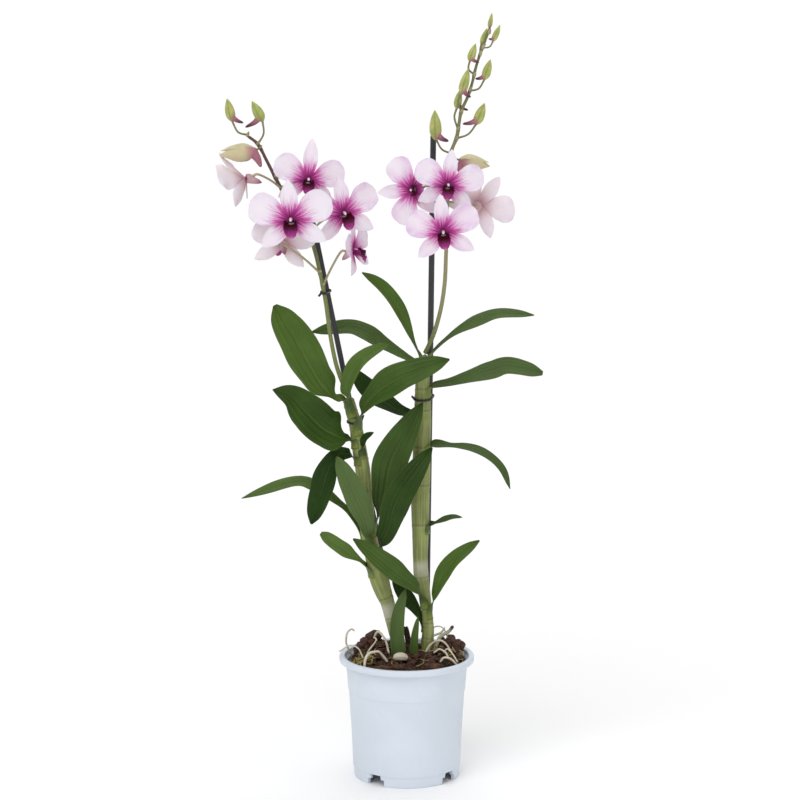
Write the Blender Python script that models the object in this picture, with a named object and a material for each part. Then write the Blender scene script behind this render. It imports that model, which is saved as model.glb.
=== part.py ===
"""A dendrobium orchid with two flowering canes, standing in a plain nursery pot of bark."""

import math

import bmesh
import bpy
import numpy as np
from mathutils import Euler

# All sizes are in millimetres, and one factor turns them into metres.
MM = 0.001

# Where the pot's axis stands, so that the whole plant is centred on the origin
POT_X = 21.5
POT_Y = 1.0

# Clearance between two pieces that touch, and the least thickness of a blade
GAP = 0.35
BLADE = 0.9

# Pot: outside radii, heights of the lip and floor, and the notches of the foot
POT_HEIGHT = 110.0
RIM_RADIUS = 60.0
FOOT_RADIUS = 46.6
LIP_HEIGHT = 6.0
STEP_HEIGHT = 79.5
FLOOR_HEIGHT = 12.0
FLOOR_THICK = 1.8
POT_STEPS = 32
NOTCH_ANGLES = (-36.5, 53.5, 143.5, 233.5)
NOTCH_WIDTH = 17.0
NOTCH_STEP = 5.6
NOTCH_HEIGHT = 9.8
DRAIN_RADIUS = 3.5

# Bark: level at the wall, crown of the mound and the chunks that stand out of it
BARK_LEVEL = 102.0
BARK_CROWN = 110.0
CHUNKS = 24
GOLDEN_ANGLE = 2.39996

# Large pieces of bark: centre and half sizes
BIG_CHUNKS = (
    ((-31, 15, 114), (8.0, 7.0, 9.0)),
    ((-18, -38, 106), (9.0, 5.0, 4.0)),
    ((40, 8, 112), (7.5, 7.0, 7.5)),
    ((2, 17, 114), (2.6, 2.6, 12.0)),
)

# Canes: axis x, y, height and radius, from the end in the bark to the top
CANE_LEFT = (
    (-5, 0, 60, 5.6),
    (-6, 0, 112, 5.6),
    (-10, 0, 128, 5.4),
    (-14, 0, 144, 5.6),
    (-17, 0, 157, 6.2),
    (-21, -1, 168, 7.4),
    (-25, -2, 180, 7.9),
    (-28, -3, 194, 7.6),
    (-31, -4, 206, 7.2),
    (-34, -5, 222, 7.0),
    (-36, -5, 240, 6.8),
    (-37, -4, 260, 6.6),
    (-39, -2, 280, 6.4),
    (-42, 0, 298, 6.2),
    (-45, 3, 316, 5.6),
    (-49, 4, 332, 5.0),
    (-51, 4, 343, 3.6),
)
CANE_RIGHT = (
    (18, 5, 60, 5.6),
    (18, 5, 112, 5.6),
    (19, 5, 130, 5.2),
    (18, 5, 148, 4.6),
    (16, 5, 162, 5.2),
    (13, 5, 178, 6.4),
    (12, 5, 196, 6.4),
    (12, 5, 212, 6.9),
    (12, 5, 230, 7.6),
    (12, 5, 252, 8.0),
    (13, 5, 276, 7.8),
    (13, 5, 298, 7.6),
    (14, 5, 320, 7.4),
    (14, 5, 340, 7.0),
    (14, 5, 356, 6.2),
    (15, 5, 370, 4.8),
    (16, 5, 380, 3.2),
)
CANE_SIDES = 12

# Stakes: lower end, upper end and radius
STAKE_LEFT = ((5, 15, 60), (-83, 9, 501), 2.4)
STAKE_RIGHT = ((17, 18, 60), (23, 18, 572), 2.6)

# Leaves: cane, node height, path of the midrib after the node, half width, direction that
# the upper face looks in, half angle of the sheath, and width at the base as a share
LEAVES = {
    "leaf_left_01": (
        "left", 339, ((-64, 4, 344), (-77, 6, 359), (-90, 10, 379), (-103, 13, 401), (-116, 16, 423)),
        17.5, (0.1, -0.9, 0.35), 60, 0.75),
    "leaf_left_02": (
        "left", 304, ((-61, -9, 310), (-75, -14, 318), (-94, -18, 332), (-117, -20, 352)),
        18.5, (0.2, -0.8, 0.6), 60, 0.85),
    "leaf_left_03": (
        "left", 331, ((-52, -11, 351), (-46, -14, 370), (-35, -14, 382), (-15, -13, 393)),
        8.0, (-0.5, -0.75, 0.4), 50, 0.8),
    "leaf_left_04": (
        "left", 316, ((-37, -14, 336), (-24, -22, 352), (-7, -27, 364), (14, -29, 373), (37, -28, 381)),
        13.5, (-0.3, -0.85, 0.45), 50, 0.5),
    "leaf_left_05": (
        "left", 289, ((-60, -13, 291), (-70, -14, 274), (-76, -15, 255), (-84, -15, 232)),
        11.0, (-0.4, -0.9, 0.0), 50, 0.6),
    "leaf_left_06": (
        "left", 222, ((-49, 6, 236), (-64, 10, 248), (-81, 13, 259), (-101, 14, 263), (-146, 4, 251)),
        7.5, (0.1, -0.55, 0.85), 60, 0.5),
    "leaf_left_07": (
        "left", 211, ((-35, -23, 234), (-44, -29, 259), (-52, -32, 277), (-61, -32, 296)),
        10.5, (0.0, -0.97, 0.2), 34, 0.6),
    "leaf_left_08": (
        "left", 226, ((-23, -17, 245), (-19, -19, 264), (-13, -20, 290), (2, -19, 319), (14, -16, 341)),
        16.0, (-0.35, -0.9, 0.25), 50, 0.5),
    "leaf_left_09": (
        "left", 202, ((-14, -25, 231), (-5, -33, 258), (8, -32, 280), (23, -26, 303)),
        11.5, (0.1, -0.93, 0.3), 38, 0.6),
    "leaf_left_10": (
        "left", 188, ((-40, -10, 197), (-50, -11, 204), (-61, -12, 212), (-76, -12, 223)),
        6.5, (0.1, -0.75, 0.6), 40, 0.4),
    "leaf_left_11": (
        "left", 296, ((-37, -12, 308), (-29, -14, 314)), 3.6, (-0.5, -0.8, 0.4), 30, 0.7),
    "leaf_right_01": (
        "right", 379, ((3, 0, 396), (-4, -2, 414), (-13, -4, 430), (-24, -6, 443), (-39, -8, 454)),
        8.0, (0.7, -0.6, 0.4), 50, 0.6),
    "leaf_right_02": (
        "right", 379, ((33, 1, 392), (46, -1, 402), (64, -3, 411), (82, -4, 417), (111, -4, 416)),
        7.0, (-0.2, -0.6, 0.8), 50, 0.45),
    "leaf_right_03": (
        "right", 350, ((38, 1, 355), (58, -1, 361), (75, -2, 366), (90, -2, 370), (119, -2, 364)),
        9.5, (-0.2, -0.7, 0.7), 50, 0.55),
    "leaf_right_04": (
        "right", 369, ((-6, 16, 378), (-22, 22, 387), (-37, 26, 396), (-53, 29, 400), (-84, 28, 396)),
        8.5, (0.2, -0.75, 0.6), 50, 0.6),
    "leaf_right_05": (
        "right", 323, ((-8, 12, 329), (-23, 17, 338), (-37, 20, 349), (-49, 22, 364)),
        10.0, (0.2, -0.8, 0.5), 50, 0.6),
    "leaf_right_06": (
        "right", 298, ((38, 1, 299), (56, -1, 297), (72, -3, 290), (84, -3, 278), (91, -3, 261)),
        5.5, (0.15, -0.55, 0.8), 50, 0.6),
    "leaf_right_07": (
        "right", 226, ((29, 1, 231), (40, 0, 235), (49, -1, 235)), 3.2, (-0.2, -0.65, 0.75), 40, 0.6),
    "leaf_right_08": (
        "right", 158, ((9, -12, 172), (-8, -24, 189), (-26, -30, 205), (-47, -34, 223)),
        11.5, (0.45, -0.8, 0.5), 50, 0.6),
    "leaf_right_09": (
        "right", 149, ((27, -8, 171), (33, -12, 187), (43, -14, 201), (64, -14, 217)),
        8.5, (-0.5, -0.8, 0.35), 38, 0.6),
    "leaf_right_10": (
        "right", 136, ((7, 12, 149), (-3, 14, 162), (-13, 15, 178)), 7.0, (0.3, -0.9, 0.2), 45, 0.6),
}
SHEATH = 7.0

# Outline of a leaf: half widths as shares of the greatest, along the blade
BLADE_SHARES = np.array((0.0, 0.09, 0.2, 0.34, 0.5, 0.66, 0.8, 0.92, 1.0))
BLADE_WIDTHS = np.array((0.0, 0.0, 0.6, 0.93, 1.0, 0.94, 0.78, 0.48, 0.04))

# Young shoots that stand in the bark: path, half width and facing
SHOOTS = {
    "shoot_left": (((-8, -11, 84), (-8, -12, 112), (-9, -13, 135), (-7, -14, 154), (-1, -15, 174)),
                   7.0, (0.1, -1, 0.1)),
    "shoot_right": (((5, -6, 84), (6, -8, 116), (7, -9, 130), (10, -9, 147)), 4.0, (0.1, -1, 0.1)),
}

# Flower stems: path and radius
STEM_LEFT = (
    (-51.4, 4, 343.6, 2.2), (-56, 3, 354, 2.0), (-62, 1, 372, 1.9), (-67, 0, 398, 1.8), (-71, 0, 428, 1.8),
    (-76, 0, 454, 1.7), (-82, 0, 478, 1.7), (-92, 0, 500, 1.6), (-104, 0, 518, 1.6), (-113, 0, 534, 1.5),
    (-121, 0, 550, 1.4), (-129, 0, 565, 1.3), (-139, 0, 573, 1.2),
)
STEM_RIGHT = (
    (16.3, 5, 381.4, 2.2), (20, 2, 390, 2.0), (25, -3, 404, 1.9), (30, -5, 424, 1.8), (33, -6, 446, 1.8),
    (34, -5, 470, 1.7), (35, -3, 494, 1.7), (35, 0, 515, 1.6), (36, 0, 537, 1.6), (38, 0, 557, 1.5),
    (43, 0, 571, 1.5), (45, 0, 583, 1.4), (47, 0, 594, 1.4), (52, 0, 605, 1.3), (56, 0, 617, 1.2),
    (59, 0, 630, 1.2), (63, 0, 643, 1.1), (68, 0, 656, 1.0), (71, 0, 666, 1.0),
)

# Buds: pedicel path, tip, radius and tip of the spur
BUDS_LEFT = (
    (((-138, 0, 573), (-146, -3, 576), (-151, -4, 586)), (-155, -4, 605), 4.2, (-141, -6, 584)),
    (((-129, 0, 565), (-124, 3, 574), (-125, 4, 585)), (-134, 4, 602), 4.6, (-140, 7, 579)),
    (((-127, 0, 562), (-128, -4, 562), (-130, -6, 560)), (-162, -8, 557), 8.0, (-126, -8, 546)),
)
BUDS_RIGHT = (
    (((38, 0, 557), (30, -2, 561), (25, -3, 570)), (24, -3, 595), 5.2, (36, -4, 568)),
    (((43, 0, 570), (53, -2, 574), (60, -3, 583)), (67, -3, 601), 4.4, (48, -5, 583)),
    (((44, 0, 578), (41, 2, 588), (43, 3, 596)), (46, 3, 612), 3.4, (53, 5, 594)),
    (((47, 0, 593), (44, -3, 602), (47, -4, 609)), (53, -4, 631), 4.0, (55, -6, 606)),
    (((54, 0, 611), (62, 2, 613), (67, 3, 621)), (72, 3, 638), 3.8, (59, 5, 621)),
    (((58, 0, 625), (53, -2, 630), (54, -3, 637)), (59, -3, 652), 3.4, (62, -5, 636)),
    (((63, 0, 643), (63, 2, 647), (64, 3, 651)), (69, 3, 665), 2.4, (68, 4, 650)),
    (((65, 0, 648), (71, -1, 649), (74, -2, 654)), (80, -2, 668), 2.6, (70, -3, 656)),
    (((38, 0, 552), (42, 2, 552), (46, 3, 551)), (72, 4, 546), 7.0, (45, 3, 540)),
)
BUD_TOP = ((70.5, 0, 664), (73, 0, 678), 2.0)

# Spur of a bloom that looks ahead and of one that is turned away: how far back and how far down
SPUR_HANGING = ((1.0, 1.5), (4.5, 5.5), (6.0, 10.5))
SPUR_SWEPT = ((1.0, 1.5), (5.5, 4.8), (11.0, 8.0))

# Blooms: centre, facing, direction of the top sepal, tilt of the tepals in
# degrees, size, and where the pedicel leaves its stem
BLOOMS = {
    "bloom_left_1": ((-85, -18, 536), (0.10, -0.98, 0.06), (0.16, 0, 1), 2, 0.92, (-114, 0, 536)),
    "bloom_left_2": ((-99, -40, 504), (-0.06, -0.99, 0.0), (-0.10, 0, 1), 2, 1.08, (-98, 0, 510)),
    "bloom_left_3": ((-55, -24, 508), (0.35, -0.93, -0.05), (-0.16, 0, 1), 4, 0.98, (-86, 0, 488)),
    "bloom_left_4": ((-107, -18, 480), (-0.30, 0.93, 0.02), (0.2, 0, 1), 6, 0.87, (-76, 0, 453)),
    "bloom_left_5": ((-138, -8, 536), (-0.88, 0.20, -0.38), (-0.15, 0, 1), 28, 0.93, (-108, 0, 526)),
    "bloom_left_6": ((-48, -14, 474), (0.80, -0.28, 0.12), (-0.34, 0, 0.94), 14, 0.86, (-73, 0, 442)),
    "bloom_right_1": ((5, -20, 528), (-0.22, -0.97, 0.0), (-1, 0, -0.12), 4, 0.90, (35.5, 0, 528)),
    "bloom_right_2": ((35, -34, 533), (0.06, -0.99, 0.05), (0.14, 0, 1), 2, 0.90, (36, 0, 540)),
    "bloom_right_3": ((31, -50, 495), (0.0, -0.98, -0.12), (-0.12, 0, 1), 2, 0.95, (35, -2, 502)),
    "bloom_right_4": ((62, -12, 513), (0.40, 0.88, 0.05), (0.58, 0, 0.81), 10, 0.92, (35, 0, 515)),
}
PETAL = (36.0, 13.0)
TOP_SEPAL = (35.0, 6.6)
SIDE_SEPAL = (33.0, 7.6)
PETAL_ANGLE = 64.0
SEPAL_ANGLE = 128.0
CORE = 4.4

# Ties: cane or stem, stake, height, width of the band
TIE_HEIGHT = 3.2
TIE_THICK = 1.0

# Roots on the bark: path and radius
ROOTS = {
    "root_arch": (((-36, -35, 100), (-37, -37, 109), (-35, -35, 117), (-31, -31, 120), (-24, -27, 119),
                   (-16, -23, 108)), 1.3),
    "root_strand": (((-31, 13, 110), (-29, 11, 124), (-26, 8, 128), (-22, 5, 126), (-18, 0, 121),
                     (-15, -6, 108)), 1.1),
    "root_curl": (((-46, 6, 101), (-50, 4, 112), (-54, 0, 123), (-53, 0, 130), (-49, 0, 133),
                   (-46, 0, 131)), 0.9),
    "root_right": (((14, -9, 103), (18, -6, 116), (22, -4, 121), (28, -5, 124), (34, -6, 122),
                    (41, -8, 106)), 1.2),
}


def clear_scene():
    for item in list(bpy.data.objects):
        bpy.data.objects.remove(item, do_unlink=True)


def material(name, colour, roughness):
    made = bpy.data.materials.new(name)
    made.use_nodes = True
    shader = made.node_tree.nodes["Principled BSDF"]
    shader.inputs["Base Color"].default_value = (*colour, 1.0)
    shader.inputs["Roughness"].default_value = roughness
    return made


def add_object(name, points, faces, surface):
    """A mesh object from points in the pot's frame, in millimetres."""
    moved = np.asarray(points, float) + np.array((POT_X, POT_Y, 0.0))
    mesh = bpy.data.meshes.new(name)
    mesh.from_pydata((moved * MM).tolist(), [], [tuple(map(int, face)) for face in faces])
    mesh.validate()
    mesh.update()
    made = bpy.data.objects.new(name, mesh)
    bpy.context.scene.collection.objects.link(made)
    if surface is not None:
        made.data.materials.append(surface)
    return made


def boolean(target, others, operation):
    """Unites the others with the target, or cuts them from it, and leaves one plain mesh."""
    group = bpy.data.collections.new(target.name + "_others")
    bpy.context.scene.collection.children.link(group)
    for item in others:
        bpy.context.scene.collection.objects.unlink(item)
        group.objects.link(item)
    change = target.modifiers.new("cut", "BOOLEAN")
    change.operation = operation
    change.operand_type = "COLLECTION"
    change.collection = group
    change.solver = "EXACT"
    change.use_self = operation == "UNION"
    graph = bpy.context.evaluated_depsgraph_get()
    result = bpy.data.meshes.new_from_object(target.evaluated_get(graph))
    target.modifiers.clear()
    old = target.data
    target.data = result
    bpy.data.meshes.remove(old)
    for item in others:
        bpy.data.objects.remove(item, do_unlink=True)
    bpy.data.collections.remove(group)
    return target


def keep_largest(target):
    """Drops the crumbs that the holes cut loose, and leaves the main body."""
    mesh = target.data
    edges = np.empty(len(mesh.edges) * 2, int)
    mesh.edges.foreach_get("vertices", edges)
    edges = edges.reshape(-1, 2)
    label = np.arange(len(mesh.vertices))
    changed = True
    while changed:
        lowest = np.minimum(label[edges[:, 0]], label[edges[:, 1]])
        before = label.copy()
        np.minimum.at(label, edges[:, 0], lowest)
        np.minimum.at(label, edges[:, 1], lowest)
        changed = bool((before != label).any())
    names, counts = np.unique(label, return_counts=True)
    loose = label != names[counts.argmax()]
    if loose.any():
        shape = bmesh.new()
        shape.from_mesh(mesh)
        shape.verts.ensure_lookup_table()
        doomed = [shape.verts[int(i)] for i in np.flatnonzero(loose)]
        bmesh.ops.delete(shape, geom=doomed, context="VERTS")
        shape.to_mesh(mesh)
        shape.free()
    return target


def unit(vector):
    vector = np.asarray(vector, float)
    return vector / np.maximum(np.linalg.norm(vector, axis=-1, keepdims=True), 1e-9)


def curve(points, shares):
    """Points on a smooth line through the given ones, at shares of its length."""
    points = np.asarray(points, float)
    ends = np.vstack((2 * points[0] - points[1], points, 2 * points[-1] - points[-2]))
    fine = []
    for a, b, c, d in zip(ends, ends[1:], ends[2:], ends[3:]):
        t = np.linspace(0, 1, 24, endpoint=False)[:, None]
        bend = (2 * a - 5 * b + 4 * c - d) * t**2
        twist = (3 * b - a - 3 * c + d) * t**3
        fine.append(0.5 * (2 * b + (c - a) * t + bend + twist))
    fine = np.vstack(fine + [points[-1:]])
    length = np.concatenate(((0,), np.cumsum(np.linalg.norm(np.diff(fine, axis=0), axis=1))))
    wanted = np.asarray(shares) * length[-1]
    return np.stack([np.interp(wanted, length, fine[:, i]) for i in range(3)], axis=1)


def grid_faces(rows, columns, offset=0, flip=False):
    """Triangles of a grid of points, all split along the same diagonal."""
    faces = []
    for i in range(rows - 1):
        for j in range(columns - 1):
            a = offset + i * columns + j
            b, c, d = a + 1, a + columns + 1, a + columns
            faces += [(a, b, c), (a, c, d)] if not flip else [(a, c, b), (a, d, c)]
    return faces


def strip(spine, upper, half_width, half_angle, thickness, columns=4):
    """A closed blade: an arc swept along a spine, curling towards its upper face."""
    rows = len(spine)
    tangent = unit(np.gradient(spine, axis=0))
    side = unit(np.cross(tangent, upper))
    normal = np.cross(side, tangent)
    v = np.linspace(-1, 1, columns + 1)
    angle = half_angle[:, None] * v
    radius = (half_width / half_angle)[:, None]
    sideways = side[:, None, :]
    upwards = normal[:, None, :]
    sine = np.sin(angle)[..., None]
    cosine = np.cos(angle)[..., None]
    arc = sideways * sine + upwards * (1 - cosine)
    inner = spine[:, None, :] + radius[..., None] * arc
    outer = inner - thickness * (upwards * cosine - sideways * sine)
    points = np.vstack((inner.reshape(-1, 3), outer.reshape(-1, 3)))
    across = columns + 1
    shift = rows * across
    faces = grid_faces(rows, across, 0, True) + grid_faces(rows, across, shift)
    border = list(range(across))
    border += [i * across + columns for i in range(1, rows)]
    border += [(rows - 1) * across + i for i in range(columns - 1, -1, -1)]
    border += [i * across for i in range(rows - 2, 0, -1)]
    for a, b in zip(border, border[1:] + border[:1]):
        faces += [(a, b, b + shift), (a, b + shift, a + shift)]
    return points, np.array(faces)[:, ::-1]


def tube(points, radii, sides=6):
    """A closed tube along a line of points, with flat ends."""
    points = np.asarray(points, float)
    radii = np.asarray(radii, float)
    tangent = unit(np.gradient(points, axis=0))
    frame = np.cross(tangent[0], (0.0, 1.0, 0.0))
    rings = []
    for p, t, r in zip(points, tangent, radii):
        frame = unit(frame - t * np.dot(frame, t))
        other = np.cross(t, frame)
        turn = np.linspace(0, 2 * math.pi, sides, endpoint=False)[:, None]
        rings.append(p + r * (np.cos(turn) * frame + np.sin(turn) * other))
    rows = len(points)
    made = np.vstack(rings + [points[:1], points[-1:]])
    faces = []
    for i in range(rows - 1):
        for j in range(sides):
            k = (j + 1) % sides
            a, b = i * sides + j, i * sides + k
            c, d = b + sides, a + sides
            faces += [(a, b, c), (a, c, d)]
    low, high = rows * sides, rows * sides + 1
    last = (rows - 1) * sides
    for j in range(sides):
        k = (j + 1) % sides
        faces += [(low, k, j), (high, last + j, last + k)]
    return made, np.array(faces)


def lathe(profile, steps):
    """A closed ring or solid from a profile of radius and height that runs outwards and up."""
    profile = np.asarray(profile, float)
    turn = np.linspace(0, 2 * math.pi, steps, endpoint=False)
    points, index = [], []
    for r, z in profile:
        if r == 0:
            index.append([len(points)] * steps)
            points.append((0.0, 0.0, z))
        else:
            index.append(list(range(len(points), len(points) + steps)))
            points += [(r * math.cos(a), r * math.sin(a), z) for a in turn]
    faces = []
    closed = list(zip(index, index[1:]))
    if profile[0][0] != 0:
        closed.append((index[-1], index[0]))
    for low, high in closed:
        for j in range(steps):
            k = (j + 1) % steps
            if low[j] != low[k]:
                faces.append((low[j], low[k], high[k]))
            if high[j] != high[k]:
                faces.append((low[j], high[k], high[j]))
    return np.array(points), np.array(faces)


def cane_at(cane, height):
    rows = np.asarray(cane, float)
    return np.array([np.interp(height, rows[:, 2], rows[:, i]) for i in (0, 1, 3)])


def build_pot(surface):
    """Tapered pot with a rolled lip, a step line, a foot ring with notches and drain holes."""
    outside = (
        (FOOT_RADIUS - 3.0, 0), (FOOT_RADIUS - 0.6, 0), (FOOT_RADIUS, 0.8), (FOOT_RADIUS + 0.6, 9),
        (FOOT_RADIUS + 1.4, 10), (51.6, STEP_HEIGHT), (52.2, STEP_HEIGHT + 1),
        (54.0, POT_HEIGHT - LIP_HEIGHT - 0.5), (54.8, POT_HEIGHT - LIP_HEIGHT),
        (58.6, POT_HEIGHT - LIP_HEIGHT + 0.6),
        (RIM_RADIUS, POT_HEIGHT - LIP_HEIGHT + 2.0), (RIM_RADIUS, POT_HEIGHT - 1.4),
        (RIM_RADIUS - 1.2, POT_HEIGHT), (RIM_RADIUS - 3.4, POT_HEIGHT),
    )
    inside = (
        (54.6, POT_HEIGHT - 3), (52.7, POT_HEIGHT - LIP_HEIGHT), (FOOT_RADIUS - 0.4, FLOOR_HEIGHT + 2),
        (FOOT_RADIUS - 2.0, FLOOR_HEIGHT), (0, FLOOR_HEIGHT),
    )
    under = ((0, FLOOR_HEIGHT - FLOOR_THICK), (FOOT_RADIUS - 3.6, FLOOR_HEIGHT - FLOOR_THICK))
    pot = add_object("pot", *lathe(under + outside + inside, POT_STEPS), surface)
    cutters = []
    for n, degrees in enumerate(NOTCH_ANGLES):
        turn = math.radians(degrees - 90)
        out = np.array((math.cos(turn), math.sin(turn), 0.0))
        across = np.array((-out[1], out[0], 0.0))
        half = NOTCH_WIDTH / 2
        neck = half - 3.2
        shape = ((-half, -2), (half, -2), (half, NOTCH_STEP), (neck, NOTCH_STEP), (neck, NOTCH_HEIGHT),
                 (-neck, NOTCH_HEIGHT), (-neck, NOTCH_STEP), (-half, NOTCH_STEP))
        near = [out * 40 + across * a + np.array((0, 0, b)) for a, b in shape]
        far = [out * 52 + across * a + np.array((0, 0, b)) for a, b in shape]
        count = len(shape)
        faces = [tuple(range(count - 1, -1, -1)), tuple(range(count, 2 * count))]
        faces += [(i, (i + 1) % count, (i + 1) % count + count, i + count) for i in range(count)]
        cutters.append(add_object("notch_%d" % n, near + far, faces, None))
        low = out * 26 + (0, 0, 2)
        drain = tube((low, low + (0, 0, FLOOR_HEIGHT + 4)), (DRAIN_RADIUS,) * 2, 10)
        cutters.append(add_object("drain_%d" % n, *drain, None))
    return boolean(pot, cutters, "DIFFERENCE")


def chunk(name, centre, size, lean, spin, uneven):
    """A block with uneven corners, leaned about x and y and turned about z."""
    corners = np.array([(x, y, z) for z in (-1, 1) for x, y in ((-1, -1), (1, -1), (1, 1), (-1, 1))], float)
    turned = np.array(Euler((lean[0], lean[1], spin)).to_matrix())
    corners = (corners * size * uneven) @ turned.T + centre
    faces = [(0, 3, 2), (0, 2, 1), (4, 5, 6), (4, 6, 7)]
    for i in range(4):
        k = (i + 1) % 4
        faces += [(i, k, k + 4), (i, k + 4, i + 4)]
    return add_object(name, corners, faces, None)


def build_bark(surface, rng, holes):
    """A filling that mounds towards the middle, with chunks of bark standing out of it."""
    low = FLOOR_HEIGHT + GAP
    profile = (
        (0, low), (FOOT_RADIUS - 4.0, low), (FOOT_RADIUS - 0.9, low + 3.2),
        (51.7, BARK_LEVEL - 2), (50, BARK_LEVEL + 1), (34, BARK_LEVEL + 3), (16, BARK_CROWN), (0, BARK_CROWN),
    )
    bark = add_object("bark_mix", *lathe(profile, 24), surface)
    chunks = []
    for n in range(CHUNKS):
        around = n * GOLDEN_ANGLE
        size = np.array((rng.uniform(5.0, 8.0), rng.uniform(3.2, 5.5), rng.uniform(2.6, 4.4)))
        out = min(47.0 * math.sqrt((n + 0.6) / CHUNKS), 45.5 - 0.35 * size[0])
        rise = BARK_CROWN - 1.0 - 0.085 * out + rng.uniform(-1.0, 4.0)
        centre = (out * math.cos(around), out * math.sin(around), rise)
        uneven = rng.uniform(0.72, 1.0, (8, 1))
        lean = rng.uniform(-0.5, 0.5, 2)
        chunks.append(chunk("chunk_%02d" % n, centre, size, lean, rng.uniform(0, math.pi), uneven))
    for n, (centre, size) in enumerate(BIG_CHUNKS):
        uneven = rng.uniform(0.72, 1.0, (8, 1))
        lean = rng.uniform(-0.12, 0.12, 2)
        chunks.append(chunk("big_chunk_%d" % n, centre, size, lean, rng.uniform(-0.3, 0.3), uneven))
    boolean(bark, chunks, "UNION")
    return keep_largest(boolean(bark, holes, "DIFFERENCE"))


def hole(name, path, radii, sides):
    return add_object(name, *tube(path, radii, sides), None)


def build_cane(name, rows, surface):
    rows = np.asarray(rows, float)
    return add_object(name, *tube(rows[:, :3], rows[:, 3], CANE_SIDES), surface)


def build_leaf(name, row, canes, surface):
    """A leaf: a short sheath round the cane, then a blade that is widest near its middle."""
    cane, node, path, width, facing, sheath_angle, base = row
    rows = canes[cane]
    x, y, radius = cane_at(rows, node)
    x_low, y_low, radius_low = cane_at(rows, node - SHEATH)
    first = np.array(path[0], float)
    heading = unit((first[0] - x, first[1] - y, 0.0))
    sheath = math.radians(sheath_angle)
    chord = math.cos(sheath / 4)
    wrap = (max(radius, radius_low) + GAP + 0.25) / chord
    low = np.array((x_low, y_low, node - SHEATH)) + heading * wrap
    top = np.array((x, y, node)) + heading * wrap
    blade = curve((top,) + tuple(path), BLADE_SHARES)
    spine = np.vstack((low, blade))
    facing = unit(facing)
    mix = np.array((0, 0, 0.35, 0.75, 1, 1, 1, 1, 1, 1))[:, None]
    upper = unit((1 - mix) * -heading + mix * facing)
    share = np.concatenate(((0,), BLADE_SHARES))
    angle = np.interp(share, (0, 0.09, 0.2, 0.5, 1), (sheath, min(sheath, 0.8), 0.5, 0.34, 0.2))
    half = np.concatenate(((0,), BLADE_WIDTHS)) * width
    half[:2] = wrap * sheath
    half[2] = base * width
    half[3] = width * (0.42 + 0.58 * base)
    angle[:2] = sheath
    half[-1] = 0.5
    columns = 4 if width > 7 else 2
    return add_object(name, *strip(spine, upper, half, angle, BLADE, columns), surface)


def build_shoot(name, row, surface):
    path, width, facing = row
    shares = np.array((0, 0.2, 0.4, 0.55, 0.7, 0.84, 0.94, 1.0))
    widths = np.array((0.6, 0.85, 1.0, 1.0, 0.9, 0.66, 0.38, 0.06)) * width
    spine = curve(path, shares)
    angle = np.interp(shares, (0, 0.4, 1), (1.3, 0.9, 0.3))
    return add_object(name, *strip(spine, unit(np.tile(facing, (8, 1))), widths, angle, BLADE), surface)


def bloom_frame(row):
    centre, facing, top, tilt, size, _ = row
    front = unit(facing)
    up = unit(np.asarray(top, float) - front * np.dot(top, front))
    right = np.cross(up, front)
    return np.array(centre, float), right, up, front, math.radians(tilt), size


def tepal(centre, right, up, front, tilt, size, angle, length, width, shares, widths, cup):
    """One sepal or petal, from inside the core outwards, bent forwards by the tilt."""
    turn = math.radians(angle)
    out = math.sin(turn) * right + math.cos(turn) * up
    s = np.asarray(shares)
    along = (1.6 + (length - 1.6) * s) * size
    lean = math.tan(tilt) * along - 0.0035 * along**2 + 0.6
    spine = centre + out * along[:, None] * math.cos(tilt) ** 0.5 + front * lean[:, None]
    upper = np.tile(front - out * math.tan(tilt), (len(s), 1))
    return strip(spine, unit(upper), np.asarray(widths) * width * size, np.full(len(s), cup), 0.8, 2)


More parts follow.
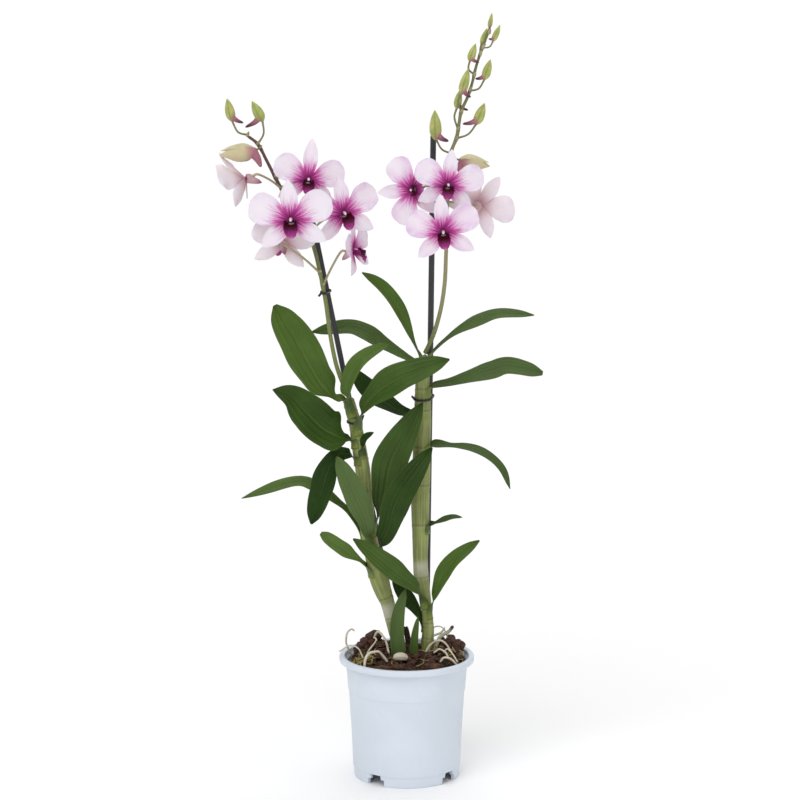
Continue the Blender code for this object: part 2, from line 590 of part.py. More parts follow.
def build_bloom(name, row, white, magenta):
    """Three sepals, two broad petals, a spur and a column in one piece, and the lip in another."""
    centre, right, up, front, tilt, size = bloom_frame(row)
    core_path = centre + front * np.array((-6.4, -4.6, -1.6, 1.2, 6.4))[:, None] * size
    core = add_object(name, *tube(core_path, np.array((1.6, 3.6, CORE, 2.4, 1.5)) * size, 6), white)
    petal_shape = ((0, 0.3, 0.62, 0.86, 1.0), (0.20, 0.66, 1.0, 0.84, 0.22))
    sepal_shape = ((0, 0.3, 0.6, 0.84, 1.0), (0.42, 0.9, 0.94, 0.56, 0.06))
    blades = []
    for part, angle, (length, width), shape, cup in (
        ("top", 0, TOP_SEPAL, sepal_shape, 0.4),
        ("petal_r", PETAL_ANGLE, PETAL, petal_shape, 0.25),
        ("petal_l", -PETAL_ANGLE, PETAL, petal_shape, 0.25),
        ("side_r", SEPAL_ANGLE, SIDE_SEPAL, sepal_shape, 0.35),
        ("side_l", -SEPAL_ANGLE, SIDE_SEPAL, sepal_shape, 0.35),
    ):
        lift = {"top": 0.1, "petal_r": 1.0, "petal_l": 1.15, "side_r": -0.15, "side_l": -0.3}[part] * size
        solid = tepal(centre + front * lift, right, up, front, tilt, size, angle, length, width, *shape, cup)
        blades.append(add_object(name + part, *solid, None))
    heel = SPUR_HANGING if front[1] < -0.5 else SPUR_SWEPT
    spur = np.array([centre - front * back * size - up * down * size for back, down in heel])
    blades.append(add_object(name + "spur", *tube(spur, np.array((3.2, 2.4, 0.8)) * size, 5), None))
    boolean(core, blades, "UNION")
    if tilt > 0.4:
        size = size * 0.5
        centre = centre + front * 4.5
    local = np.array(((4.6, 3.2), (5.0, 5.6), (5.8, 8.6), (8.2, 11.2), (11.4, 12.4), (13.8, 12.6)))
    spine = np.array([centre - up * a * size + front * b * size for a, b in local])
    half = np.array((6.6, 8.6, 9.0, 6.2, 4.6, 0.8)) * size
    angle = np.array((1.5, 1.75, 1.5, 0.9, 0.4, 0.25))
    upper = unit(np.tile(up, (6, 1)) + front * np.array((0, 0, 0.2, 0.9, 1.6, 2.0))[:, None])
    return add_object(name + "_lip", *strip(spine, upper, half, angle, 0.8), magenta)


def build_spray(name, rows, buds, blooms, surface, top=None):
    """A flower stem with the pedicels of its blooms, and its buds on theirs, in one piece."""
    rows = np.asarray(rows, float)
    stem = add_object(name, *tube(rows[:, :3], rows[:, 3], 6), surface)
    parts = []
    for n, (path, tip, radius, spur) in enumerate(buds):
        path = np.asarray(path, float)
        tip = np.asarray(tip, float)
        line = curve(path, (0, 0.35, 0.7, 1.0))
        parts.append(add_object("%s_p%d" % (name, n), *tube(line, (0.8, 0.75, 0.75, 0.9), 4), None))
        base = path[-1]
        axis = tip - base
        steps = np.array((-0.04, 0.14, 0.4, 0.72, 1.0))
        body = base + axis * steps[:, None]
        egg = tube(body, np.array((0.3, 0.8, 1.0, 0.66, 0.1)) * radius, 5)
        parts.append(add_object("%s_b%d" % (name, n), *egg, None))
        heel = base + axis * 0.22
        line = np.array((heel, 0.55 * heel + 0.45 * np.asarray(spur, float), spur))
        horn = tube(line, (0.62 * radius, 0.42 * radius, 0.6), 4)
        parts.append(add_object("%s_s%d" % (name, n), *horn, None))
    for n, row in enumerate(blooms):
        centre, right, up, front, tilt, size = bloom_frame(row)
        start = np.array(row[5], float)
        back = centre - front * (6.4 * size + GAP + 0.1)
        behind = back - front * 5.0
        middle = 0.5 * (start + behind) + np.array((0, 0, 1.5))
        line = curve((start, middle, behind, back), (0, 0.25, 0.5, 0.75, 0.9, 1.0))
        stalk = tube(line, (1.0, 0.95, 0.95, 1.0, 1.1, 1.2), 4)
        parts.append(add_object("%s_f%d" % (name, n), *stalk, None))
    if top is not None:
        low, high, radius = np.array(top[0], float), np.array(top[1], float), top[2]
        body = low + (high - low) * np.array((0, 0.25, 0.55, 0.8, 1.0))[:, None]
        egg = tube(body, np.array((0.5, 0.9, 1.0, 0.6, 0.15)) * radius, 6)
        parts.append(add_object(name + "_top", *egg, None))
    return boolean(stem, parts, "UNION")


def build_tie(name, first, first_radius, second, second_radius, height, surface):
    """A flat band drawn round a cane or stem and its stake."""
    first = np.asarray(first, float)
    second = np.asarray(second, float)
    between = second - first
    distance = np.linalg.norm(between)
    bearing = math.atan2(between[1], between[0])
    spread = math.acos((first_radius - second_radius) / distance)
    loops = []
    for extra in (GAP + 0.25, GAP + 0.25 + TIE_THICK):
        far = np.linspace(bearing - spread, bearing + spread, 7)
        near = np.linspace(bearing + spread, bearing + 2 * math.pi - spread, 9)
        reach = (second_radius + extra) / math.cos(spread / 6)
        outer = second + reach * np.column_stack((np.cos(far), np.sin(far)))
        reach = (first_radius + extra) / math.cos(math.pi / 12)
        inner = first + reach * np.column_stack((np.cos(near), np.sin(near)))
        loops.append(np.vstack((outer, inner)))
    count = len(loops[0])
    low, high = height - TIE_HEIGHT / 2, height + TIE_HEIGHT / 2
    corners = ((loops[0], low), (loops[1], low), (loops[1], high), (loops[0], high))
    points = np.vstack([np.column_stack((loop, np.full(count, z))) for loop, z in corners])
    faces = []
    for ring in range(4):
        other = (ring + 1) % 4
        for i in range(count):
            k = (i + 1) % count
            a, b = ring * count + i, ring * count + k
            c, d = other * count + k, other * count + i
            faces += [(a, c, b), (a, d, c)]
    return add_object(name, points, np.array(faces)[:, ::-1], surface)


def main():
    clear_scene()
    rng = np.random.default_rng(7)
    plastic_white = material("pot_plastic", (0.80, 0.85, 0.90), 0.45)
    plastic_black = material("stake_plastic", (0.03, 0.03, 0.035), 0.4)
    bark_brown = material("bark", (0.10, 0.045, 0.025), 0.9)
    cane_green = material("cane", (0.33, 0.38, 0.10), 0.5)
    leaf_green = material("leaf", (0.05, 0.14, 0.025), 0.4)
    stem_green = material("flower_stem", (0.24, 0.27, 0.09), 0.5)
    tepal_white = material("tepal", (0.88, 0.72, 0.86), 0.55)
    lip_magenta = material("lip", (0.30, 0.01, 0.13), 0.5)
    root_pale = material("root", (0.66, 0.60, 0.46), 0.8)

    canes = {"left": CANE_LEFT, "right": CANE_RIGHT}
    build_pot(plastic_white)

    holes = []
    for name, rows in canes.items():
        rows = np.asarray(rows, float)[:4]
        rows[0, 2] -= GAP
        path = rows[:, :3]
        holes.append(hole("hole_" + name, path, rows[:, 3] + GAP + 0.1, CANE_SIDES))
    for n, (low, high, radius) in enumerate((STAKE_LEFT, STAKE_RIGHT)):
        low, high = np.array(low, float), np.array(high, float)
        step = unit(high - low)
        holes.append(hole("hole_stake_%d" % n, (low - step * GAP, low + step * 80), (radius + GAP,) * 2, 8))
    for name, (path, width, facing) in SHOOTS.items():
        line = curve(path, np.linspace(0, 0.75, 5))
        line[0] -= np.array((0, 0, GAP + 0.2))
        line[:, 1] -= 0.35 * width
        holes.append(hole("hole_" + name, line, (1.12 * width + 0.5,) * 5, 10))
    for name, (path, radius) in ROOTS.items():
        line = curve(path, np.linspace(0, 1, 7))
        first, last = np.array(path[0], float), np.array(path[-1], float)
        line[0] = first + unit(first - line[1]) * 0.6
        line[-1] = last + unit(last - line[-2]) * 0.6
        holes.append(hole("hole_" + name, line, (1.15 * radius + 0.6,) * 7, 6))
    build_bark(bark_brown, rng, holes)

    build_cane("cane_left", CANE_LEFT, cane_green)
    build_cane("cane_right", CANE_RIGHT, cane_green)
    for name, (low, high, radius) in (("stake_left", STAKE_LEFT), ("stake_right", STAKE_RIGHT)):
        add_object(name, *tube((low, high), (radius, radius), 8), plastic_black)
    for name, row in LEAVES.items():
        build_leaf(name, row, canes, leaf_green)
    for name, row in SHOOTS.items():
        build_shoot(name, row, leaf_green)
    for name, (path, radius) in ROOTS.items():
        line = curve(path, np.linspace(0, 1, 7))
        add_object(name, *tube(line, (radius,) * 7, 6), root_pale)

    left = [row for name, row in BLOOMS.items() if "left" in name]
    right = [row for name, row in BLOOMS.items() if "right" in name]
    build_spray("flower_stem_left", STEM_LEFT, BUDS_LEFT, left, stem_green)
    build_spray("flower_stem_right", STEM_RIGHT, BUDS_RIGHT, right, stem_green, BUD_TOP)
    for name, row in BLOOMS.items():
        build_bloom(name, row, tepal_white, lip_magenta)

    for name, rows, stake, height in (
        ("tie_left", CANE_LEFT, STAKE_LEFT, 320.2),
        ("tie_right", CANE_RIGHT, STAKE_RIGHT, 340.6),
        ("tie_stem", STEM_LEFT, STAKE_LEFT, 435.5),
    ):
        x, y, radius = cane_at(rows, height)
        low, high = np.array(stake[0], float), np.array(stake[1], float)
        share = (height - low[2]) / (high[2] - low[2])
        spot = low + (high - low) * share
        build_tie(name, (x, y), radius + 0.3, spot[:2], stake[2] + 0.3, height, plastic_black)


main()
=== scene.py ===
"""A dendrobium orchid in a plain nursery pot, dressed piece by piece round its packed solids."""

import math

import bpy
import numpy as np
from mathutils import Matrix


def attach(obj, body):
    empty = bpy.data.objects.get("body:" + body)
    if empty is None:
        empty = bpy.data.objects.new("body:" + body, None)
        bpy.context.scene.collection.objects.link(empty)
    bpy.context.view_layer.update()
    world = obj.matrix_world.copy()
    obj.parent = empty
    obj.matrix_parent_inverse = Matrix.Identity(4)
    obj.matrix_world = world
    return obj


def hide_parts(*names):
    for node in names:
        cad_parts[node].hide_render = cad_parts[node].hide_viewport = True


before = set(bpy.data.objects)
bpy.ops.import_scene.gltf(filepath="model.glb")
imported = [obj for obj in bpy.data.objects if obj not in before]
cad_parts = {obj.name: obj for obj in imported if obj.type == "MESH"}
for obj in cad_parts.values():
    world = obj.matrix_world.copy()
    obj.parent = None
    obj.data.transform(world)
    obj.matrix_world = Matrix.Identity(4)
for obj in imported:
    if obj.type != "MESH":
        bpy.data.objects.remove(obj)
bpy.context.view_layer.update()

bl_info = {
    "name": "Potted Dendrobium",
    "version": (1, 0, 0),
    "blender": (4, 5, 0),
    "location": "3D View > Sidebar > Orchid",
    "description": "Builds a potted dendrobium orchid from surfaces worked out by formula",
    "category": "Add Mesh",
}

# The tables below are in millimetres, measured from the pot's axis at its foot
MM = 0.001
POT_AXIS = np.array((21.5, 1.0, 0.0))
TURN = 2 * math.pi

# Notches of the pot's foot: where they stand, in degrees from the front, their half width at the
# foot and at the neck, the height of the step between the two, and the height of the whole
NOTCH_ANGLES = (-36.5, 53.5, 143.5, 233.5)
NOTCH_HALF = 8.6
NOTCH_NECK = 5.4
NOTCH_STEP = 5.6
NOTCH_HEIGHT = 9.5

# Pot: where the foot ring ends, the upper and the under side of the floor, the step in the wall,
# the number of points round it, and which points of its outline the notches squeeze
FOOT_RISE = 10.6
FLOOR_HEIGHT = 12.0
FLOOR_UNDER = 10.2
STEP_HEIGHT = 79.5
POT_STEPS = 720
FOOT_POINTS = slice(3, 17)

# Canes: axis x, y, height and radius, then the heights of the nodes
CANES = {
    "left": (
        (-5, 0, 60, 5.6), (-6, 0, 112, 5.6), (-10, 0, 128, 5.4), (-14, 0, 144, 5.6), (-17, 0, 157, 6.2),
        (-21, -1, 168, 7.4), (-25, -2, 180, 7.9), (-28, -3, 194, 7.6), (-31, -4, 206, 7.2),
        (-34, -5, 222, 7.0), (-36, -5, 240, 6.8), (-37, -4, 260, 6.6), (-39, -2, 280, 6.4),
        (-42, 0, 298, 6.2), (-45, 3, 316, 5.6), (-49, 4, 332, 5.0), (-51, 4, 343, 3.6),
    ),
    "right": (
        (18, 5, 60, 5.6), (18, 5, 112, 5.6), (19, 5, 130, 5.2), (18, 5, 148, 4.6), (16, 5, 162, 5.2),
        (13, 5, 178, 6.4), (12, 5, 196, 6.4), (12, 5, 212, 6.9), (12, 5, 230, 7.6), (12, 5, 252, 8.0),
        (13, 5, 276, 7.8), (13, 5, 298, 7.6), (14, 5, 320, 7.4), (14, 5, 340, 7.0), (14, 5, 356, 6.2),
        (15, 5, 370, 4.8), (16, 5, 380, 3.2),
    ),
}
CANE_NODES = {
    "left": (126, 142, 161, 209, 229, 258, 287, 302, 314, 329, 339),
    "right": (122, 136, 149, 178, 226, 262, 296, 329, 348, 367, 377),
}

# Canes: the height of their foot in the bark, how far the last joint runs past its node, how much a
# node swells and over what height, how deep the groove above it is, at what distance and how narrow,
# and how thick the sheath's film is
CANE_FOOT = 60
LAST_JOINT = 12
NODE_SWELL = 0.22
NODE_REACH = 0.9
GROOVE_RISE = 1.9
GROOVE_REACH = 0.7
FILM = 0.14

# Height at which a cane still carries a dry, papery sheath, and how far it reaches up and down
PAPER = {"left": 150.0, "right": 187.0}
PAPER_REACH = 8.0

# Stakes: lower end, upper end and radius
STAKES = {
    "left": ((5, 15, 60), (-83, 9, 501), 2.4),
    "right": ((17, 18, 60), (23, 18, 572), 2.6),
}

# Leaves: cane, node height, path of the midrib after the node, half width, direction of the
# upper face, half angle of the sheath, and width at the base as a share
LEAVES = {
    "left_01": ("left", 339, ((-65, 3, 342), (-76, 5, 354), (-86, 8, 371), (-96, 11, 390), (-108, 14, 408),
                              (-116, 16, 422)), 16.6, (0.1, -0.9, 0.35), 60, 0.80),
    "left_02": ("left", 304, ((-61, -9, 309), (-74, -13, 317), (-89, -17, 333), (-101, -19, 346),
                              (-117, -20, 353)), 18.5, (0.2, -0.8, 0.6), 60, 0.95),
    "left_03": ("left", 331, ((-52, -11, 351), (-46, -14, 370), (-35, -14, 382), (-15, -13, 393)),
                8.0, (-0.5, -0.75, 0.4), 50, 0.8),
    "left_04": ("left", 316, ((-37, -14, 336), (-24, -22, 352), (-7, -27, 364), (14, -29, 373),
                              (37, -28, 381)), 13.5, (-0.3, -0.85, 0.45), 50, 0.5),
    "left_05": ("left", 289, ((-57, -13, 295), (-67, -15, 284), (-75, -15, 259), (-84, -15, 232)),
                11.6, (-0.4, -0.9, 0.0), 50, 0.6),
    "left_06": ("left", 222, ((-49, 6, 236), (-64, 10, 248), (-81, 13, 259), (-101, 14, 263), (-146, 4, 251)),
                7.5, (0.1, -0.55, 0.85), 60, 0.5),
    "left_07": ("left", 211, ((-35, -23, 234), (-44, -29, 259), (-52, -32, 277), (-61, -32, 296)),
                10.5, (0.0, -0.97, 0.2), 34, 0.6),
    "left_08": ("left", 226, ((-23, -17, 245), (-19, -19, 264), (-13, -20, 290), (2, -19, 319),
                              (14, -16, 341)), 16.0, (-0.35, -0.9, 0.25), 50, 0.5),
    "left_09": ("left", 202, ((-17, -25, 230), (-9, -33, 257), (5, -32, 280), (22, -26, 303)),
                12.4, (0.1, -0.93, 0.3), 38, 0.6),
    "left_10": ("left", 188, ((-40, -10, 197), (-50, -11, 204), (-61, -12, 212), (-76, -12, 223)),
                6.5, (0.1, -0.75, 0.6), 40, 0.4),
    "left_11": ("left", 296, ((-37, -12, 308), (-29, -14, 314)), 3.6, (-0.5, -0.8, 0.4), 30, 0.7),
    "right_01": ("right", 379, ((3, 0, 396), (-4, -2, 414), (-13, -4, 430), (-24, -6, 443), (-39, -8, 454)),
                 8.0, (0.7, -0.6, 0.4), 50, 0.6),
    "right_02": ("right", 379, ((33, 1, 392), (46, -1, 402), (64, -3, 411), (82, -4, 417), (111, -4, 416)),
                 7.0, (-0.2, -0.6, 0.8), 50, 0.45),
    "right_03": ("right", 350, ((38, 1, 355), (58, -1, 361), (75, -2, 366), (90, -2, 370), (119, -2, 364)),
                 9.5, (-0.2, -0.7, 0.7), 50, 0.55),
    "right_04": ("right", 369, ((-6, 16, 378), (-22, 22, 387), (-37, 26, 396), (-53, 29, 400),
                                (-84, 28, 396)), 8.5, (0.2, -0.75, 0.6), 50, 0.6),
    "right_05": ("right", 323, ((-8, 12, 329), (-23, 17, 338), (-37, 20, 349), (-49, 22, 364)),
                 10.0, (0.2, -0.8, 0.5), 50, 0.6),
    "right_06": ("right", 298, ((38, 1, 299), (56, -1, 297), (72, -3, 290), (84, -3, 278), (91, -3, 261)),
                 5.5, (0.15, -0.55, 0.8), 50, 0.6),
    "right_07": ("right", 226, ((29, 1, 231), (40, 0, 235), (49, -1, 235)),
                 3.2, (-0.2, -0.65, 0.75), 40, 0.6),
    "right_08": ("right", 158, ((9, -12, 172), (-8, -24, 189), (-26, -30, 205), (-47, -34, 223)),
                 10.4, (0.45, -0.8, 0.5), 50, 0.6),
    "right_09": ("right", 149, ((27, -8, 171), (33, -12, 187), (43, -14, 201), (64, -14, 217)),
                 7.6, (-0.5, -0.8, 0.35), 38, 0.6),
    "right_10": ("right", 136, ((7, 12, 149), (-3, 14, 162), (-13, 15, 178)),
                 7.0, (0.3, -0.9, 0.2), 45, 0.6),
}

# How light each blade is, from dark to young green, how grey, its fold, its edge wave, how blunt, how
# much wider it is near its base than near its tip, and how deep its lengthwise pleats are
LEAF_LOOKS = {
    "left_01": (0.42, 0.0, 0.12, 0.04, 0.35, -0.05, 0.45), "left_02": (0.16, 0.0, 0.12, 0.04, 0.0, 0.55, 0.5),
    "left_03": (0.50, 0.1, 0.18, 0.04, 0.0, 0.1, 0.3), "left_04": (0.28, 0.0, 0.14, 0.06, 0.1, 0.1, 0.5),
    "left_05": (0.04, 0.0, 0.16, 0.04, 0.2, 0.0, 0.4), "left_06": (0.48, 0.1, 0.10, 0.05, 0.0, 0.0, 0.2),
    "left_07": (0.42, 0.6, 0.10, 0.03, 0.2, 0.0, 0.15), "left_08": (0.20, 0.1, 0.16, 0.04, 0.0, 0.35, 0.8),
    "left_09": (0.10, 0.0, 0.18, 0.04, 0.1, 0.15, 0.7), "left_10": (0.70, 0.3, 0.10, 0.06, 0.9, -0.3, 0.1),
    "left_11": (0.04, 0.0, 0.12, 0.03, 0.0, 0.0, 0.0), "right_01": (0.42, 0.0, 0.14, 0.04, 0.3, 0.0, 0.2),
    "right_02": (0.35, 0.5, 0.12, 0.04, 0.2, 0.0, 0.2), "right_03": (0.30, 0.4, 0.14, 0.05, 0.8, -0.1, 0.25),
    "right_04": (0.32, 0.2, 0.12, 0.05, 0.2, 0.0, 0.2), "right_05": (0.06, 0.0, 0.12, 0.04, 0.2, 0.0, 0.2),
    "right_06": (0.25, 0.5, 0.14, 0.04, 0.0, 0.0, 0.15), "right_07": (0.20, 0.3, 0.10, 0.03, 0.0, 0.0, 0.0),
    "right_08": (0.34, 0.1, 0.12, 0.05, 0.2, 0.1, 0.4), "right_09": (0.44, 0.0, 0.14, 0.05, 0.2, 0.0, 0.3),
    "right_10": (0.10, 0.0, 0.12, 0.03, 0.0, 0.0, 0.2),
}

# Leaves: how far below its node a leaf starts, how far it stands off the cane, its thickness, and
# the shares of its length at which its width is given
SHEATH = 7.0
CLEARANCE = 0.8
LEAF_THICKNESS = 0.9
LEAF_SHARES = (0.0, 0.09, 0.2, 0.34, 0.5, 0.66, 0.8, 0.92, 1.0)

# Blades: how soft the fold at the midrib is, how many half waves of pleats lie between the edges,
# and the edge's thickness as a share of the middle's
FOLD_SOFTNESS = 0.004
PLEATS = 5.5
EDGE_SHARE = 0.4

# Young shoots that stand in the bark: path, half width, facing, tone and greyness
SHOOTS = {
    "left": (((-8, -11, 84), (-8, -12, 112), (-9, -13, 135), (-7, -14, 154), (-1, -15, 174)),
             7.0, (0.1, -1, 0.1), 0.40, 0.5),
    "right": (((5, -6, 84), (6, -8, 116), (7, -9, 130), (10, -9, 147)), 4.0, (0.1, -1, 0.1), 0.42, 0.2),
}

# Flower stems: path and radius
STEMS = {
    "left": (
        (-51.4, 4, 343.6, 2.2), (-56, 3, 354, 2.0), (-62, 1, 372, 1.9), (-67, 0, 398, 1.8),
        (-71, 0, 428, 1.8), (-76, 0, 454, 1.7), (-82, 0, 478, 1.7), (-92, 0, 500, 1.6),
        (-104, 0, 518, 1.6), (-113, 0, 534, 1.5), (-121, 0, 550, 1.4), (-129, 0, 565, 1.3),
        (-139, 0, 573, 1.2),
    ),
    "right": (
        (16.3, 5, 381.4, 2.2), (20, 2, 390, 2.0), (25, -3, 404, 1.9), (30, -5, 424, 1.8), (33, -6, 446, 1.8),
        (34, -5, 470, 1.7), (35, -3, 494, 1.7), (35, 0, 515, 1.6), (36, 0, 537, 1.6), (38, 0, 557, 1.5),
        (43, 0, 571, 1.5), (45, 0, 583, 1.4), (47, 0, 594, 1.4), (52, 0, 605, 1.3), (56, 0, 617, 1.2),
        (59, 0, 630, 1.2), (63, 0, 643, 1.1), (68, 0, 656, 1.0), (71, 0, 666, 1.0),
    ),
}

# Buds: path of the stalk, tip, radius and tip of the spur
BUDS = {
    "left": (
        (((-138, 0, 573), (-146, -3, 576), (-151, -4, 586)), (-155, -4, 605), 4.2, (-141, -6, 584)),
        (((-129, 0, 565), (-124, 3, 574), (-125, 4, 585)), (-134, 4, 602), 4.6, (-140, 7, 579)),
    ),
    "right": (
        (((38, 0, 557), (30, -2, 561), (25, -3, 570)), (24, -3, 595), 5.2, (36, -4, 568)),
        (((43, 0, 570), (53, -2, 574), (60, -3, 583)), (67, -3, 601), 4.4, (48, -5, 583)),
        (((44, 0, 578), (41, 2, 588), (43, 3, 596)), (46, 3, 612), 3.4, (53, 5, 594)),
        (((47, 0, 593), (44, -3, 602), (47, -4, 609)), (53, -4, 631), 4.0, (55, -6, 606)),
        (((54, 0, 611), (62, 2, 613), (67, 3, 621)), (72, 3, 638), 3.8, (59, 5, 621)),
        (((58, 0, 625), (53, -2, 630), (54, -3, 637)), (59, -3, 652), 3.4, (62, -5, 636)),
        (((63, 0, 643), (63, 2, 647), (64, 3, 651)), (69, 3, 665), 2.4, (68, 4, 650)),
        (((65, 0, 648), (71, -1, 649), (74, -2, 654)), (80, -2, 668), 2.6, (70, -3, 656)),
        (((70.5, 0, 661), (70.6, 0, 663), (70.8, 0, 665)), (73, 0, 678), 2.0, (71, -1, 664)),
    ),
}

# Spur of a bud: the shares of its length at which its width is given
BUD_SPUR_KNOTS = (0, 0.5, 0.92, 1)

# Buds about to open, in the same order, and the five blades round each: the turn from the top in
# radians, width, how far the tip is spread, length, and how far it stands from the axis, as shares
OPENING_BUDS = {
    "left": (((-127, 0, 562), (-128, -4, 562), (-130, -6, 560)), (-162, -8, 557), 8.0, (-126, -8, 546)),
    "right": (((38, 0, 552), (42, 2, 552), (46, 3, 551)), (72, 4, 546), 7.0, (45, 3, 540)),
}
OPENING_BLADES = (
    (0.0, 1.0, 0.34, 0.94, 1.0), (2.1, 1.0, 0.16, 1.0, 1.0), (-2.1, 1.0, 0.22, 0.97, 1.0),
    (1.1, 0.8, 0.05, 0.84, 0.8), (-1.1, 0.8, 0.05, 0.86, 0.8),
)

# Blooms: centre, facing, direction of the top sepal, tilt of the tepals in degrees, size,
# where the stalk leaves its stem, and how much lilac they carry
BLOOMS = {
    "left_1": ((-85, -18, 536), (0.10, -0.98, 0.06), (0.16, 0, 1), 2, 0.92, (-114, 0, 536), 0.35),
    "left_2": ((-99, -40, 504), (-0.06, -0.99, 0.0), (-0.10, 0, 1), 2, 1.08, (-98, 0, 510), 0.25),
    "left_3": ((-55, -24, 508), (0.35, -0.93, -0.05), (-0.16, 0, 1), 4, 0.98, (-86, 0, 488), 0.55),
    "left_4": ((-107, -18, 480), (-0.30, 0.93, 0.02), (0.2, 0, 1), 6, 0.87, (-76, 0, 453), 0.30),
    "left_5": ((-138, -8, 536), (-0.88, 0.20, -0.38), (-0.15, 0, 1), 28, 0.93, (-108, 0, 526), 0.30),
    "left_6": ((-48, -14, 474), (0.80, -0.28, 0.12), (-0.34, 0, 0.94), 14, 0.86, (-73, 0, 442), 0.70),
    "right_1": ((5, -20, 528), (-0.22, -0.97, 0.0), (-1, 0, -0.12), 4, 0.90, (35.5, 0, 528), 0.55),
    "right_2": ((35, -34, 533), (0.06, -0.99, 0.05), (0.14, 0, 1), 2, 0.90, (36, 0, 540), 0.65),
    "right_3": ((31, -50, 495), (0.0, -0.98, -0.12), (-0.12, 0, 1), 2, 0.95, (35, -2, 502), 0.75),
    "right_4": ((62, -12, 513), (0.40, 0.88, 0.05), (0.58, 0, 0.81), 10, 0.92, (35, 0, 515), 0.50),
}

# Petals and sepals: width, as a share of the greatest, at shares of the length
PETAL_KNOTS = (0.0, 0.12, 0.3, 0.5, 0.66, 0.82, 0.93, 1.0)
PETAL_FORM = (0.2, 0.34, 0.68, 0.93, 1.0, 0.9, 0.62, 0.14)
SEPAL_KNOTS = (0.0, 0.15, 0.35, 0.58, 0.78, 0.92, 1.0)
SEPAL_FORM = (0.42, 0.66, 0.92, 0.96, 0.7, 0.34, 0.05)

# Where a petal or sepal starts from the centre, how high above the centre it stands there, and how
# fast it falls back with the square of its length
TEPAL_START = 1.6
TEPAL_LIFT = 0.6
TEPAL_DROOP = 0.0035

# Core of a bloom: how far ahead of the centre it runs, and its radius at shares of its length. The
# stalk ends in its rear
CORE_DEPTHS = (-6.4, -4.6, -1.6, 1.2)
CORE_RADIUS = ((0, 0.1, 0.5, 0.85, 1), (0.8, 1.7, 4.0, 3.4, 1.0))

# Column: how far ahead of the centre and how far up it runs, and its radius
COLUMN_PATH = ((0.4, 0.6), (3.0, 1.0), (5.4, 0.7), (7.0, -0.3))
COLUMN_RADIUS = ((0, 0.3, 0.62, 0.72, 0.88, 1), (2.2, 1.5, 1.25, 1.0, 1.1, 0.2))

# Lip: how far down and how far ahead its midline runs, then, at shares of its length, its half
# width, how far it curls and how far its upper face turns to the front
LIP_PATH = ((3.4, 0.8), (4.5, 3.4), (5.0, 6.0), (5.8, 8.6), (8.2, 11.0), (11.2, 12.2), (13.6, 12.4))
LIP_KNOTS = (0, 0.15, 0.3, 0.46, 0.62, 0.8, 0.93, 1)
LIP_HALF = (4.8, 7.6, 9.4, 9.0, 6.6, 4.6, 2.8, 0.3)
LIP_CURL = (1.6, 1.9, 2.0, 1.7, 0.9, 0.4, 0.3, 0.2)
LIP_TURN = (0, 0, 0.1, 0.5, 1.2, 1.8, 2.0, 2.0)

# A bloom that is only half open has a smaller lip that stands further out: the least tilt of its
# tepals in degrees, the size of the lip as a share, and the distance
HALF_OPEN_TILT = 23.0
HALF_OPEN_LIP = 0.5
HALF_OPEN_SHIFT = 4.5

# Spur of a bloom that looks ahead and of one that is turned away: how far back and how far down it
# runs, then the radius of both at shares of the length
SPUR_HANGING = ((0.6, 0.5), (2.6, 3.0), (4.8, 6.0), (6.0, 10.5))
SPUR_SWEPT = ((0.6, 0.5), (3.4, 2.6), (7.4, 5.4), (11.6, 8.6))
SPUR_RADIUS = ((0, 0.4, 0.85, 1), (4.2, 3.3, 1.6, 0.3))

# How much longer the top sepal of some blooms is
TOP_SEPALS = {"left_1": 1.14, "left_2": 0.93}

# Ties: whether they hold a cane or a flower stem, which one, the height, the direction in which the
# ends start and how the ends run
TIES = {
    "left": ("cane", "left", 320.2, (0.9, -0.5, 0.0), (1.2, -0.4, 6.5)),
    "right": ("cane", "right", 340.6, (-0.9, -0.5, 0.0), (-1.4, -0.4, 2.6)),
    "stem": ("stem", "left", 435.5, (-0.7, -0.8, 0.0), (-1.6, -0.4, -2.6)),
}

# Ties: distance of the band's middle from the rods, its half thickness and half height, the radius
# of the ends, and the radius and turns of their twist
TIE_GAP = 1.15
TIE_HALF_THICK = 0.45
TIE_HALF_HIGH = 1.05
TIE_END = 0.5
TWIST_RADIUS = 0.55
TWIST_TURNS = 3.5

# Roots on the bark: path, radius and greenness
ROOTS = {
    "arch": (((-36, -37, 105), (-37, -37.5, 110), (-35, -35, 117), (-31, -31, 120), (-24, -27, 119),
              (-16, -23, 108)), 1.15, 0.0),
    "strand": (((-31, 13, 114), (-29, 11, 124), (-26, 8, 128.5), (-22, 5, 126), (-18.5, 0, 121),
                (-15.5, -5, 112)), 1.0, 0.0),
    "curl": (((-46, 6, 105), (-51, 4, 112), (-54, 0, 122), (-53, 0, 130), (-49, 0, 133),
              (-46, 0, 131)), 0.8, 0.25),
    "right": (((14, -9, 108), (18, -6, 116), (22, -4, 121), (28, -5, 124), (34, -6, 122.5), (41, -8, 112)),
              0.85, 0.1),
}

